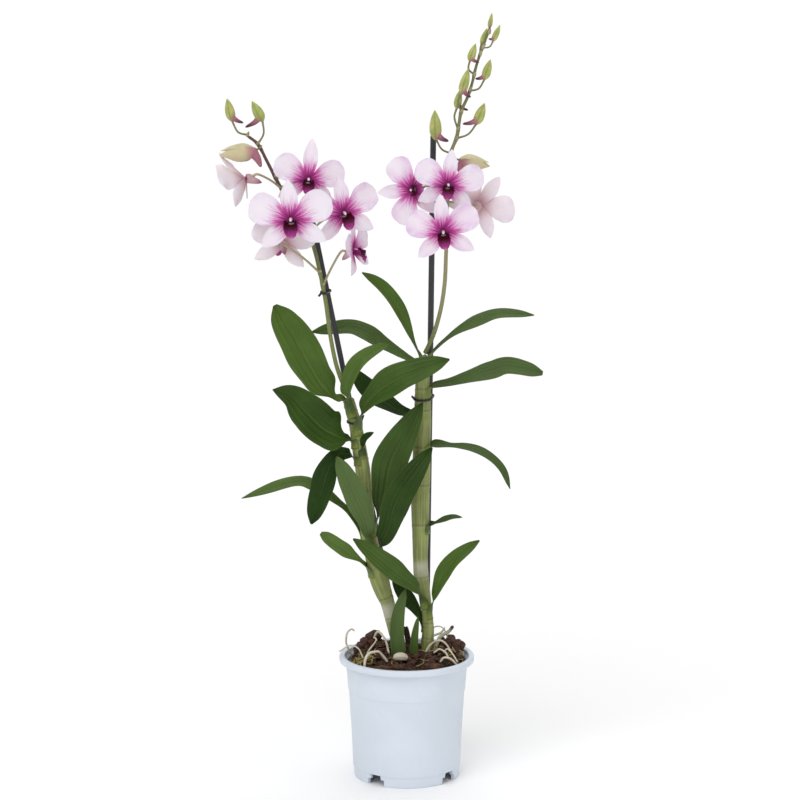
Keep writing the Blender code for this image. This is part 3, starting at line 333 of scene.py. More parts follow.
# Thin roots that the solids leave out, in the same order
LOOSE_ROOTS = {
    "left_edge": (((-60, -5, 114), (-50, -10, 121), (-42, -14, 118), (-38, -18, 111)), 0.7, 0.1),
    "stout": (((25, 0, 114), (30, 4, 125), (38, 8, 129), (41.5, 10, 133.5)), 1.6, 0.75),
    "hook": (((19, 0, 112), (21, 2, 121), (24, 4, 126), (31, 6, 128), (34, 8, 133)), 1.0, 0.55),
    "thread": (((22, 12, 124), (25, 12, 132), (32, 12, 131.5), (37, 12, 122)), 0.6, 0.1),
    "twig_low": (((29, -30, 111), (33, -31, 115), (40, -32, 113), (45, -30, 107)), 0.9, 0.0),
    "twig_mid": (((24, -19, 116), (28, -20, 120), (33, -22, 118), (37, -23, 112)), 0.75, 0.0),
    "twig_side": (((33, -17, 116), (36, -18, 119.5), (41, -22, 116), (45, -24, 109)), 0.7, 0.0),
    "back": (((-24, 12, 117), (-29, 7, 123), (-27, 2, 122), (-31, -4, 118), (-36, -6, 112)), 0.65, 0.0),
}

# Old bulb lying in the bark: its path, and its radius at shares of its length
BULB_PATH = ((-12, -25, 112.5), (-8, -25, 114.5), (-3, -24, 114), (1, -23, 111))
BULB_RADIUS = ((0, 0.08, 0.35, 0.7, 0.94, 1), (0.5, 1.9, 3.5, 3.2, 1.4, 0.3))

# Filling: radius and height up the wall of the pot, height of the mound at its foot, how much
# higher its middle is, and where it would reach the foot
FILLING_WALL = ((8, 12.4), (30, 12.4), (42, 12.5), (45.6, 15.5), (49.0, 55), (51.9, 92))
MOUND_LOW = 103
MOUND_RISE = 8.5
MOUND_REACH = 50

# Humps and dips of the mound: x, y, height and the square of their spread
MOUND_HUMPS = ((-29, 14, 9, 240), (40, 9, 8, 300), (0, -46, -3, 900))

# Large chunks set one by one: centre, half sizes and tone
CHOSEN_CHUNKS = (
    ((-19, -43, 107.5), (8.5, 4, 2.8), 1.0), ((-8, -41, 108.5), (6, 4, 2.6), 0.85),
    ((-30, 18, 120.5), (4.2, 6.4, 6.4), 0.1), ((45, 8, 117), (5, 4.6, 4.4), 0.5),
    ((39, 14, 119), (6, 4, 4.0), 0.35), ((1, 17, 121), (2.2, 2.2, 8.5), 0.2),
    ((-42, 6, 114), (5, 4, 3.6), 0.6), ((22, -38, 108.5), (7, 4.4, 3), 0.7),
)

# Splinters that stand up from the two heaps at the back: the middle of each heap and their number
HEAPS = ((-32, 14), (40, 9))
SPLINTERS = 16

# Fibres besides the loose ones: number, middle, reach, length and rise
MOSS_PATCHES = ((80, (-44, -16), 9.0, 12.0, 1.6), (24, (36, -4), 14.0, 12.0, 1.5))

# Random draws: the golden angle in radians, and the seeds of the bark, the roots and the blooms
GOLDEN_ANGLE = 2.39996
BARK_SEED = 11
ROOT_SEED = 5
BLOOM_SEED = 3

# Stage: half width of the floor, the camera's place and tilt from straight down in degrees, and
# lights as side, front and height of their rays, share of the main light, and softness in degrees
FLOOR_REACH = 60.0
CAMERA_PLACE = (0.0155, -2.711, 0.834)
CAMERA_TILT = 79.68
CAMERA_SENSOR = 36.0
LIGHTS = {
    "key": (-0.5, 1.0, 1.15, 1.0, 45),
    "fill": (0.9, 1.0, 0.4, 0.36, 70),
    "top": (0.1, -0.5, 1.6, 0.95, 60),
}

# Colours of the marks within a finish
TONES = {
    "pot scuff": (0.50, 0.56, 0.66),
    "stake scuff": (0.10, 0.10, 0.11),
    "tie scuff": (0.08, 0.08, 0.09),
    "bark fleck": (0.42, 0.27, 0.16),
    "root stretch": (0.50, 0.38, 0.22),
    "root speck": (0.16, 0.09, 0.05),
    "root tip": (0.05, 0.035, 0.03),
    "dark fibre": (0.10, 0.055, 0.025),
    "straw": (0.46, 0.36, 0.13),
    "moss": (0.24, 0.26, 0.06),
    "cane line": (0.09, 0.10, 0.025),
    "sheath film": (0.42, 0.42, 0.24),
    "sheath paper": (0.50, 0.50, 0.38),
    "node groove": (0.07, 0.075, 0.02),
    "old midrib": (0.075, 0.13, 0.028),
    "young midrib": (0.26, 0.36, 0.09),
    "leaf edge": (0.16, 0.21, 0.06),
    "leaf base": (0.24, 0.29, 0.06),
    "leaf tip": (0.16, 0.12, 0.04),
    "pale stalk": (0.52, 0.42, 0.27),
    "stem speck": (0.14, 0.08, 0.05),
    "bud patch": (0.56, 0.54, 0.20),
    "bud cream": (0.66, 0.55, 0.36),
    "bud blush": (0.46, 0.13, 0.24),
    "back vein": (0.68, 0.54, 0.64),
    "back heart": (0.50, 0.27, 0.27),
    "spur red": (0.25, 0.045, 0.12),
    "lip rim": (0.70, 0.40, 0.62),
    "lip edge": (0.55, 0.12, 0.38),
    "column pink": (0.80, 0.55, 0.70),
}


def unit(vector):
    """Each vector divided by its length."""
    vector = np.asarray(vector, float)
    return vector / np.maximum(np.linalg.norm(vector, axis=-1, keepdims=True), 1e-9)


def smoothstep(low, high, value):
    """A number that eases from 0 to 1 while the value runs from low to high: 3 t squared less 2 t cubed."""
    t = np.clip((value - low) / (high - low), 0, 1)
    return t * t * (3 - 2 * t)


def eased(at, knots, values):
    """A smooth run through values at knots: on each stretch the cubic whose slope at a knot is that
    of the line through its two neighbours."""
    knots = np.asarray(knots, float)
    values = np.asarray(values, float)
    at = np.clip(np.asarray(at, float), knots[0], knots[-1])
    slope = np.gradient(values, knots)
    i = np.clip(np.searchsorted(knots, at, side="right") - 1, 0, len(knots) - 2)
    step = knots[i + 1] - knots[i]
    t = (at - knots[i]) / step
    low = (2 * t**3 - 3 * t**2 + 1) * values[i] + (t**3 - 2 * t**2 + t) * step * slope[i]
    high = (3 * t**2 - 2 * t**3) * values[i + 1] + (t**3 - t**2) * step * slope[i + 1]
    return low + high


def spline(points, shares):
    """Points at shares of the length of a smooth line: between two given points it is the cubic whose
    slope at each is half the step between that point's neighbours. Columns past xyz ride along."""
    points = np.asarray(points, float)
    ends = np.vstack((2 * points[0] - points[1], points, 2 * points[-1] - points[-2]))
    a, b, c, d = (ends[i:len(ends) - 3 + i, None] for i in range(4))
    t = np.linspace(0, 1, 24, endpoint=False)[None, :, None]
    cubic = 2 * b + (c - a) * t + (2 * a - 5 * b + 4 * c - d) * t**2 + (3 * b - a - 3 * c + d) * t**3
    fine = np.vstack((0.5 * cubic.reshape(-1, points.shape[1]), points[-1:]))
    length = np.concatenate(((0,), np.cumsum(np.linalg.norm(np.diff(fine[:, :3], axis=0), axis=1))))
    return np.stack([np.interp(np.asarray(shares) * length[-1], length, column) for column in fine.T], axis=1)


def ripple(points, scale, rng, waves=6):
    """Soft noise of about -1 to 1: the mean of sine waves that run in seeded directions."""
    runs = rng.normal(size=(waves, 3)) / scale
    shifts = rng.uniform(0, TURN, waves)
    return np.sin(points @ runs.T + shifts).mean(-1) * 1.6


def loft(rings, across=None, along=None, closed=False, **marks):
    """Skins of quads over rings of points (skin, row, column, xyz): a point joins the next in its ring
    and the one beyond it in the next ring. A fan closes each end at the mean of its ring, or the last
    ring joins the first. Marks are numbers at the points, across and along their place on the skin."""
    rings = np.asarray(rings, float)
    rings = rings.reshape((-1,) + rings.shape[-3:])
    skins, rows, sides = rings.shape[:3]
    u = np.linspace(0, 1, sides + 1) if across is None else np.asarray(across, float)
    v = np.linspace(0, 1, rows + closed) if along is None else np.asarray(along, float)
    count = skins * rows * sides
    index = np.arange(count).reshape(skins, rows, sides)
    if closed:
        index = np.concatenate((index, index[:, :1]), axis=1)
    beside = np.roll(index, -1, axis=2)
    quads = np.stack((index[:, :-1], index[:, 1:], beside[:, 1:], beside[:, :-1]), axis=-1)
    left, right = u[None, :-1], u[None, 1:]
    low, high = v[:-1, None], v[1:, None]
    corners = np.stack([np.stack(np.broadcast_arrays(p, q), axis=-1) for p, q in (
        (left, low), (left, high), (right, high), (right, low))], axis=2)
    quad_uv = np.broadcast_to(corners, (skins,) + corners.shape)
    points = rings.reshape(-1, 3)
    values = {key: np.broadcast_to(value, (skins, rows, sides)) for key, value in marks.items()}
    flat = {key: value.reshape(-1) for key, value in values.items()}
    fans = np.empty((0, 3), int)
    fan_uv = np.empty((0, 3, 2))
    if not closed:
        first = (count + np.arange(skins))[:, None] + np.zeros(sides, int)
        starts = np.stack((index[:, 0], beside[:, 0], first), axis=-1)
        finishes = np.stack((beside[:, -1], index[:, -1], first + skins), axis=-1)
        fans = np.concatenate((starts.reshape(-1, 3), finishes.reshape(-1, 3)))
        middle = 0.5 * (u[:-1] + u[1:])
        start_uv = np.stack((u[:-1], u[1:], middle), axis=1)
        start_uv = np.stack((start_uv, np.full_like(start_uv, v[0])), axis=-1)
        finish_uv = np.stack((u[1:], u[:-1], middle), axis=1)
        finish_uv = np.stack((finish_uv, np.full_like(finish_uv, v[-1])), axis=-1)
        fan_uv = np.concatenate((np.tile(start_uv, (skins, 1, 1)), np.tile(finish_uv, (skins, 1, 1))))
        points = np.vstack((points, rings[:, 0].mean(1), rings[:, -1].mean(1)))
        flat = {key: np.concatenate((flat[key], value[:, 0].mean(1), value[:, -1].mean(1)))
                for key, value in values.items()}
    return {"points": points, "quads": quads.reshape(-1, 4), "quad_uv": quad_uv.reshape(-1, 4, 2),
            "fans": fans, "fan_uv": fan_uv, "marks": flat}


def piece(name, lofts, finish, slot, *nodes, crease=180.0):
    """One object of closed lofts, given in millimetres from the pot's axis: it rides on the plant,
    wears one finish and stands for the named solids."""
    shift = np.cumsum([0] + [len(part["points"]) for part in lofts])
    points = (np.vstack([part["points"] for part in lofts]) + POT_AXIS) * MM
    quads = np.vstack([part["quads"] + start for part, start in zip(lofts, shift)])
    fans = np.vstack([part["fans"] + start for part, start in zip(lofts, shift)])
    mesh = bpy.data.meshes.new(name)
    mesh.from_pydata(points.tolist(), [], quads.tolist() + fans.tolist())
    corners = [part[key].reshape(-1, 2) for key in ("quad_uv", "fan_uv") for part in lofts]
    mesh.uv_layers.new(name="UVMap").data.foreach_set("uv", np.vstack(corners).astype(np.float32).ravel())
    for key in sorted({key for part in lofts for key in part["marks"]}):
        values = np.concatenate([part["marks"].get(key, np.zeros(len(part["points"]))) for part in lofts])
        mesh.attributes.new(key, "FLOAT", "POINT").data.foreach_set("value", values.astype(np.float32))
    mesh.update()
    mesh.shade_smooth()
    if crease < 180:
        mesh.set_sharp_from_angle(angle=math.radians(crease))
    made = bpy.data.objects.new(name, mesh)
    bpy.context.scene.collection.objects.link(made)
    mesh.materials.append(finish)
    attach(made, "root")
    if nodes:
        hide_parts(*nodes)


def tube(path, radius, sides=12, hint=None):
    """Rings round a path: at each row a circle of the row's radius, square to the path. The circle
    starts beside the direction that the path runs along least, or beside the hint."""
    path = np.asarray(path, float)
    if hint is None:
        hint = np.linalg.svd(np.diff(path, axis=0), full_matrices=False)[2][-1]
    tangent = unit(np.gradient(path, axis=-2))
    side = unit(np.cross(tangent, hint))[..., None, :]
    other = np.cross(side, tangent[..., None, :])
    angle = np.linspace(0, TURN, sides, endpoint=False)[:, None]
    radius = np.asarray(radius, float)
    radius = radius[..., None, None] if radius.ndim < path.ndim else radius[..., None]
    return path[..., None, :] + radius * (np.cos(angle) * side + np.sin(angle) * other)


def blade(path, upper, half, curl, thick, columns, fold=0.0, bulge=0.0, wave=0.0, waves=3.0, phase=0.0,
          pleats=0.0):
    """A closed leaf shape, as rings, their place across and a mark for the under side. Each row is an
    arc of the row's half width that curls to the upper face by its angle, raised by a fold and a bulge
    beside the midrib, by a wave that grows with the square of the place across, and by pleats, which
    follow a cosine across. Both faces stand off it by half the thickness, which thins towards the edges."""
    rows = len(path)
    tangent = unit(np.gradient(path, axis=0))
    side = unit(np.cross(tangent, upper))[:, None]
    normal = np.cross(side, tangent[:, None])
    angle = np.linspace(0, TURN, 2 * columns, endpoint=False)
    across = np.cos(angle)
    face = np.sin(angle)
    half = np.asarray(half, float)[:, None]
    curl = np.maximum(np.broadcast_to(curl, rows), 1e-3)[:, None]
    bend = curl * across
    out = half / curl
    away = np.sqrt(across**2 + FOLD_SOFTNESS)
    share = np.linspace(0, 1, rows)[:, None]
    swing = np.sin(TURN * waves * share + phase + 1.9 * np.sign(across)) * across**2
    rise = half * (fold * away + 3 * bulge * away * (1 - away) + wave * swing)
    rise = rise - pleats * np.cos(PLEATS * math.pi * across) * (1 - across**2)
    offset = 0.5 * thick * face * (EDGE_SHARE + (1 - EDGE_SHARE) * (1 - across**2))
    sine, cosine = np.sin(bend), np.cos(bend)
    sideways = out * sine - offset * sine
    upwards = out * (1 - cosine) + rise + offset * cosine
    rings = path[:, None] + side * sideways[..., None] + normal * upwards[..., None]
    places = 0.5 - 0.5 * np.cos(np.linspace(0, TURN, 2 * columns + 1))
    return rings, places, (face < -1e-6).astype(float)


def cane_at(rows, height):
    """The x, y and radius of a cane or a flower stem at a height, on the straight line between rows."""
    rows = np.asarray(rows, float)
    return np.array([np.interp(height, rows[:, 2], rows[:, i]) for i in (0, 1, 3)])


class Finish:
    """One material: a Principled shader and the texture nodes that feed it."""

    def __init__(self, name, **fixed):
        self.material = bpy.data.materials.new(name)
        self.material.use_nodes = True
        self.tree = self.material.node_tree
        self.shader = self.tree.nodes["Principled BSDF"]
        for socket, value in fixed.items():
            self.shader.inputs[socket.replace("_", " ")].default_value = value
        self.places = self.node("TexCoord")

    def node(self, kind, sockets=(), **settings):
        """A new node with its settings made and its sockets fed."""
        made = self.tree.nodes.new("ShaderNode" + kind)
        for key, value in settings.items():
            setattr(made, key, value)
        for key, value in dict(sockets).items():
            self.feed(made.inputs[key], value)
        return made

    def feed(self, socket, value):
        """Links a socket to another, or gives it a number or a colour."""
        if isinstance(value, bpy.types.NodeSocket):
            self.tree.links.new(value, socket)
        elif hasattr(value, "__len__") and len(value) == 3 and socket.type == "RGBA":
            socket.default_value = (*value, 1.0)
        else:
            socket.default_value = value

    def math(self, operation, *values):
        """The result of a sum, product or other operation on the values."""
        return self.node("Math", enumerate(values), operation=operation).outputs[0]

    def step(self, value, low, high, start=0.0, end=1.0):
        """A number that runs smoothly from start to end while the value runs from low to high."""
        sockets = {"Value": value, "From Min": low, "From Max": high, "To Min": start, "To Max": end}
        return self.node("MapRange", sockets, interpolation_type="SMOOTHSTEP").outputs[0]

    def mix(self, share, first, second):
        """The first colour, with the given share of it exchanged for the second."""
        return self.node("Mix", {0: share, 6: first, 7: second}, data_type="RGBA").outputs[2]

    def mark(self, name):
        """The number that a loft carries at its points under this name."""
        return self.node("Attribute", attribute_name=name).outputs["Fac"]

    def across_along(self):
        """The place across and along the skin, each from 0 to 1."""
        parts = self.node("SeparateXYZ", {0: self.places.outputs["UV"]})
        return parts.outputs[0], parts.outputs[1]

    def from_midline(self, across):
        """How far a place across lies from the middle: 0 there and 0.5 at both edges."""
        return self.math("ABSOLUTE", self.math("SUBTRACT", across, 0.5))

    def noise(self, scale, stretch=(1, 1, 1), detail=3.0, rough=0.55, source="Object", distort=0.0):
        """Cloudy noise over the solid or, stretched, over the skin's own two directions."""
        vector = self.places.outputs[source]
        if stretch != (1, 1, 1):
            vector = self.node("Mapping", {"Vector": vector, "Scale": stretch}).outputs[0]
        sockets = {
            "Vector": vector, "Scale": scale, "Detail": detail, "Roughness": rough, "Distortion": distort}
        return self.node("TexNoise", sockets).outputs["Fac"]

    def cells(self, scale):
        """The distance to the nearest of many scattered points."""
        sockets = {"Vector": self.places.outputs["Object"], "Scale": scale}
        return self.node("TexVoronoi", sockets).outputs["Distance"]

    def bump(self, height, strength, distance, under=None):
        """A fine relief of the given depth in metres, laid over another one if there is one."""
        sockets = {"Height": height, "Strength": strength, "Distance": distance}
        if under is not None:
            sockets["Normal"] = under
        return self.node("Bump", sockets).outputs[0]

    def done(self, colour, roughness=None, normal=None):
        """The material, once its colour, roughness and relief are fed to the shader."""
        self.feed(self.shader.inputs["Base Color"], colour)
        if roughness is not None:
            self.feed(self.shader.inputs["Roughness"], roughness)
        if normal is not None:
            self.feed(self.shader.inputs["Normal"], normal)
        return self.material


def tinted(colour, share):
    """A colour made darker or lighter by a share, up to full white."""
    return tuple(min(1.0, part * share) for part in colour)


def plastic_finish(name, colour, grain, gloss):
    """Moulded plastic: nearly even, with faint cloudy patches, fine scuffs and a soft mould grain."""
    made = Finish(name, IOR=1.48)
    cloud = made.noise(24.0, detail=4.0)
    scuff = made.noise(900.0, stretch=(1, 1, 0.12), detail=2.0)
    colour = made.mix(made.step(cloud, 0.35, 0.7), tinted(colour, 0.955), tuple(colour))
    colour = made.mix(made.step(scuff, 0.66, 0.8, 0.0, 0.35), colour, grain)
    rough = made.step(scuff, 0.3, 0.75, gloss - 0.05, gloss + 0.12)
    fine = made.bump(made.noise(2600.0, detail=2.0), 0.12, 0.0002)
    return made.done(colour, rough, made.bump(cloud, 0.08, 0.002, fine))


def bark_finish(dark, red):
    """Pine bark: dark plates with rusty broken faces, pale weathered flecks, a flaky relief, and painted
    shade that darkens the low crevices of that relief.
    """
    made = Finish("bark_chunks", IOR=1.45)
    tone = made.mark("tone")
    plates = made.noise(160.0, stretch=(1, 1, 2.2), detail=6.0, rough=0.65, distort=0.6)
    flecks = made.noise(900.0, detail=3.0)
    cells = made.cells(420.0)
    rust = made.math("MULTIPLY", made.step(plates, 0.38, 0.66), made.step(tone, 0.05, 0.95, 0.15, 1.0))
    colour = made.mix(rust, tuple(dark), tuple(red))
    # Painted shade: darker still where the plates noise is low, which is where the bump relief below sinks
    # into crevices
    colour = made.mix(made.step(plates, 0.52, 0.3, 0.0, 0.75), colour, tinted(dark, 0.35))
    colour = made.mix(made.step(flecks, 0.64, 0.78, 0.0, 0.45), colour, TONES["bark fleck"])
    relief = made.math("ADD", plates, made.math("MULTIPLY", cells, 0.5))
    normal = made.bump(flecks, 0.5, 0.0006, made.bump(relief, 0.9, 0.0022))
    return made.done(colour, made.step(flecks, 0.3, 0.8, 0.62, 0.95), normal)


def root_finish(colour, green):
    """Dry root skin: chalky cream with grey-green stretches, brown specks and lengthwise wrinkles."""
    made = Finish("root_skin", IOR=1.4)
    patch = made.noise(120.0, detail=4.0)
    specks = made.noise(1100.0, detail=2.0)
    wrinkles = made.noise(9.0, stretch=(1.6, 14, 1), detail=3.0, source="UV")
    tone = made.mix(made.mark("green"), tuple(colour), tuple(green))
    tone = made.mix(made.step(patch, 0.45, 0.75, 0.0, 0.5), tone, TONES["root stretch"])
    tone = made.mix(made.step(specks, 0.62, 0.74, 0.0, 0.6), tone, TONES["root speck"])
    tone = made.mix(made.mark("dark"), tone, TONES["root tip"])
    return made.done(tone, 0.85, made.bump(wrinkles, 0.6, 0.0006))


def moss_finish():
    """Dry moss and fibre: straw and yellow-green strands, each of its own tone."""
    made = Finish("moss_strands", Roughness=0.9)
    tone = made.mark("tone")
    colour = made.mix(made.step(tone, 0.1, 0.9), TONES["dark fibre"], TONES["straw"])
    colour = made.mix(made.step(made.noise(300.0), 0.45, 0.7, 0.0, 0.55), colour, TONES["moss"])
    return made.done(colour, None, made.bump(made.noise(1500.0), 0.5, 0.0004))


def cane_finish(skin, ring):
    """Cane skin: yellow-green with olive lengthwise streaks, pale papery sheath film and node rings."""
    made = Finish("cane_skin", IOR=1.45, Specular_IOR_Level=0.35)
    streaks = made.noise(5.0, stretch=(7, 1.2, 1), detail=5.0, source="UV")
    fine = made.noise(12.0, stretch=(14, 1.0, 1), detail=3.0, source="UV")
    patch = made.noise(26.0, detail=3.0)
    colour = made.mix(made.step(streaks, 0.34, 0.66), tinted(skin, 0.62), tuple(skin))
    colour = made.mix(made.step(patch, 0.42, 0.7, 0.0, 0.6), colour, tinted(skin, 1.35))
    colour = made.mix(made.step(fine, 0.56, 0.72, 0.0, 0.3), colour, TONES["cane line"])
    film = made.math("MULTIPLY", made.mark("sheath"), made.step(streaks, 0.45, 0.7, 0.0, 0.35))
    colour = made.mix(film, colour, TONES["sheath film"])
    paper = made.math("MULTIPLY", made.mark("paper"), made.step(patch, 0.3, 0.6, 0.4, 0.95))
    colour = made.mix(paper, colour, TONES["sheath paper"])
    worn = made.math("MULTIPLY", made.mark("ring"), made.step(patch, 0.35, 0.65, 0.05, 0.45))
    colour = made.mix(worn, colour, tuple(ring))
    colour = made.mix(made.math("MULTIPLY", made.mark("groove"), 0.6), colour, TONES["node groove"])
    normal = made.bump(fine, 0.35, 0.0005, made.bump(streaks, 0.3, 0.001))
    return made.done(colour, made.step(streaks, 0.3, 0.7, 0.42, 0.6), normal)


def leaf_finish(dark, light, under, gloss):
    """Leathery leaf: dark to young green by the leaf's tone, a paler under side and midrib, faint
    lengthwise veins, a yellowish base and margin, and a soft waxy gloss."""
    made = Finish("leaf_skin", IOR=1.45, Specular_IOR_Level=0.15)
    u, v = made.across_along()
    tone = made.mark("tone")
    grey = made.mark("grey")
    below = made.mark("under")
    centre = made.from_midline(u)
    veins = made.noise(6.0, stretch=(9, 0.5, 1), detail=3.0, source="UV")
    fine = made.noise(16.0, stretch=(12, 0.7, 1), detail=2.0, source="UV")
    patch = made.noise(38.0, detail=3.0)
    colour = made.mix(tone, tuple(dark), tuple(light))
    paler = made.mix(tone, tinted(dark, 2.1), tinted(light, 1.35))
    deeper = made.mix(tone, tinted(dark, 0.5), tinted(light, 0.7))
    colour = made.mix(made.step(patch, 0.35, 0.7, 0.0, 0.4), colour, paler)
    colour = made.mix(made.step(veins, 0.42, 0.68, 0.0, 0.35), colour, deeper)
    lift = made.math("MAXIMUM", grey, made.math("MULTIPLY", below, 0.85))
    colour = made.mix(made.math("MULTIPLY", lift, 0.8), colour, tuple(under))
    rib = made.math("MULTIPLY", made.step(centre, 0.04, 0.006), made.step(v, 0.95, 0.2, 0.05, 0.42))
    colour = made.mix(rib, colour, made.mix(tone, TONES["old midrib"], TONES["young midrib"]))
    edge = made.step(centre, 0.478, 0.5, 0.0, 0.3)
    colour = made.mix(edge, colour, TONES["leaf edge"])
    colour = made.mix(made.step(v, 0.13, 0.0, 0.0, 0.75), colour, TONES["leaf base"])
    colour = made.mix(made.step(v, 0.985, 1.0, 0.0, 0.6), colour, TONES["leaf tip"])
    dull = made.math("MULTIPLY", lift, 0.16)
    rough = made.math("ADD", made.step(patch, 0.3, 0.7, gloss, gloss + 0.1), dull)
    relief = made.math("ADD", veins, made.math("MULTIPLY", fine, 0.45))
    ridges = made.noise(9.0, stretch=(1, 0.07, 1), detail=1.0, source="UV")
    return made.done(colour, rough, made.bump(relief, 0.22, 0.0006, made.bump(ridges, 0.5, 0.003)))


def stem_finish(green, maroon):
    """Flower stem and stalks: green turning to purple-brown where flushed, and beige behind blooms."""
    made = Finish("stem_skin", IOR=1.45, Subsurface_Weight=0.08, Subsurface_Scale=0.002)
    streaks = made.noise(7.0, stretch=(5, 9, 1), detail=4.0, source="UV")
    specks = made.noise(700.0, detail=2.0)
    colour = made.mix(made.step(streaks, 0.35, 0.68, 0.0, 0.6), tuple(green), tinted(green, 0.5))
    colour = made.mix(made.mark("flush"), colour, tuple(maroon))
    colour = made.mix(made.mark("pale"), colour, TONES["pale stalk"])
    colour = made.mix(made.step(specks, 0.6, 0.75, 0.0, 0.35), colour, TONES["stem speck"])
    return made.done(colour, 0.5, made.bump(streaks, 0.3, 0.0004))


def bud_finish(green, maroon):
    """Bud skin: yellow-green with darker seams and veins, flushed pink and then maroon to the spur."""
    made = Finish("bud_skin", IOR=1.42, Subsurface_Weight=0.18, Subsurface_Scale=0.003)
    veins = made.noise(6.0, stretch=(6, 1.0, 1), detail=3.0, source="UV")
    patch = made.noise(140.0, detail=3.0)
    flush = made.mark("flush")
    colour = made.mix(made.step(patch, 0.4, 0.7, 0.0, 0.8), tuple(green), TONES["bud patch"])
    colour = made.mix(made.step(veins, 0.52, 0.7, 0.0, 0.4), colour, tinted(green, 0.5))
    colour = made.mix(made.mark("seam"), colour, tinted(green, 0.42))
    colour = made.mix(made.mark("cream"), colour, TONES["bud cream"])
    colour = made.mix(made.step(flush, 0.1, 0.6, 0.0, 0.85), colour, TONES["bud blush"])
    colour = made.mix(made.step(flush, 0.5, 1.0), colour, tuple(maroon))
    return made.done(colour, 0.48, made.bump(veins, 0.35, 0.0005))


def tepal_finish(white, lilac, magenta, throat, back):
    """Petals and sepals: near-white with lilac towards the edges, magenta streaks that run out from
    the base, a wine-red heart, and a beige-pink veined back. The skin sparkles faintly."""
    made = Finish(
        "tepal_skin", IOR=1.4, Specular_IOR_Level=0.3, Subsurface_Weight=0.2, Subsurface_Scale=0.002)
    u, v = made.across_along()
    tint = made.mark("tint")
    below = made.mark("under")
    edge = made.math("MULTIPLY", made.from_midline(u), 2.0)
    streaks = made.noise(7.0, stretch=(4.2, 0.35, 1), detail=4.0, source="UV")
    fine = made.noise(15.0, stretch=(5.0, 0.5, 1), detail=3.0, source="UV")
    cloud = made.noise(70.0, detail=3.0)
    wash = made.math("MULTIPLY", made.step(edge, 0.1, 1.0, 0.25, 1.0), made.step(cloud, 0.3, 0.68, 0.1, 1.0))
    wash = made.math("MULTIPLY", wash, tint)
    washed = made.mix(wash, tuple(white), tuple(lilac))
    reach = made.math("ADD", v, made.step(streaks, 0.32, 0.68, 0.13, -0.13))
    halo = made.mix(0.5, tuple(lilac), tuple(magenta))
    colour = made.mix(made.step(reach, 0.56, 0.24, 0.0, 0.75), washed, halo)
    colour = made.mix(made.step(reach, 0.40, 0.20), colour, tuple(magenta))
    colour = made.mix(made.step(reach, 0.22, 0.08), colour, made.mix(0.22, tuple(throat), tuple(magenta)))
    veined = made.mix(made.step(fine, 0.45, 0.65, 0.0, 0.4), tuple(back), TONES["back vein"])
    veined = made.mix(made.step(v, 0.45, 0.02, 0.0, 0.75), veined, TONES["back heart"])
    veined = made.mix(made.math("MULTIPLY", made.step(v, 0.35, 0.9), 0.5), veined, washed)
    colour = made.mix(made.math("MULTIPLY", below, 0.9), colour, veined)
    heel = made.math("MULTIPLY", made.mark("heel"), made.step(fine, 0.35, 0.6, 0.65, 1.0))
    colour = made.mix(heel, colour, TONES["spur red"])
    relief = made.math("ADD", fine, made.math("MULTIPLY", made.noise(2200.0, detail=1.0), 0.3))
    return made.done(colour, made.step(cloud, 0.3, 0.7, 0.46, 0.6), made.bump(relief, 0.3, 0.0005))


def lip_finish(magenta, throat):
    """Lip: wine-red to nearly black inside, magenta on the lobes, with darker veins and pale edges."""
    made = Finish("lip_skin", IOR=1.4, Specular_IOR_Level=0.2)
    u, v = made.across_along()
    veins = made.noise(8.0, stretch=(4, 0.6, 1), detail=3.0, source="UV")
    edge = made.math("MULTIPLY", made.from_midline(u), 2.0)
    out = made.math("ADD", v, made.step(veins, 0.35, 0.65, -0.08, 0.08))
    colour = made.mix(made.step(out, 0.5, 0.85), tuple(throat), tinted(magenta, 0.62))
    colour = made.mix(made.step(out, 0.86, 1.04, 0.0, 0.75), colour, TONES["lip rim"])
    colour = made.mix(made.step(edge, 0.82, 1.0, 0.0, 0.3), colour, TONES["lip edge"])
    colour = made.mix(made.step(veins, 0.55, 0.7, 0.0, 0.5), colour, tuple(throat))
    colour = made.mix(made.math("MULTIPLY", made.mark("under"), 0.4), colour, tinted(magenta, 0.9))
    return made.done(colour, 0.5, made.bump(veins, 0.45, 0.0006))


def column_finish(white, magenta):
    """Column: magenta at the root, pale pink above, with a white cap at the tip."""
    made = Finish("column_skin", IOR=1.42, Subsurface_Weight=0.2, Subsurface_Scale=0.002)
    _, v = made.across_along()
    grain = made.noise(600.0, detail=2.0)
    colour = made.mix(made.step(v, 0.35, 0.75), tuple(magenta), TONES["column pink"])
    colour = made.mix(made.step(v, 0.72, 0.86), colour, tuple(white))
    return made.done(colour, made.step(grain, 0.3, 0.7, 0.4, 0.55), made.bump(grain, 0.2, 0.0003))


def size_setting(name, description, default):
    """A length in metres."""
    return bpy.props.FloatProperty(
        name=name, description=description, default=default, min=0.0, unit="LENGTH")


def colour_setting(name, description, default):
    """A colour as red, green and blue."""
    return bpy.props.FloatVectorProperty(
        name=name, description=description, default=default, min=0.0, max=1.0, size=3, subtype="COLOR")


def share_setting(name, description, default):
    """A share from 0 to 1."""
    return bpy.props.FloatProperty(
        name=name, description=description, default=default, min=0.0, max=1.0, subtype="FACTOR")


def angle_setting(name, description, degrees):
    """An angle, given in degrees."""
    return bpy.props.FloatProperty(
        name=name, description=description, default=math.radians(degrees), subtype="ANGLE")


def count_setting(name, description, default):
    """A number of pieces."""
    return bpy.props.IntProperty(name=name, description=description, default=default, min=1)


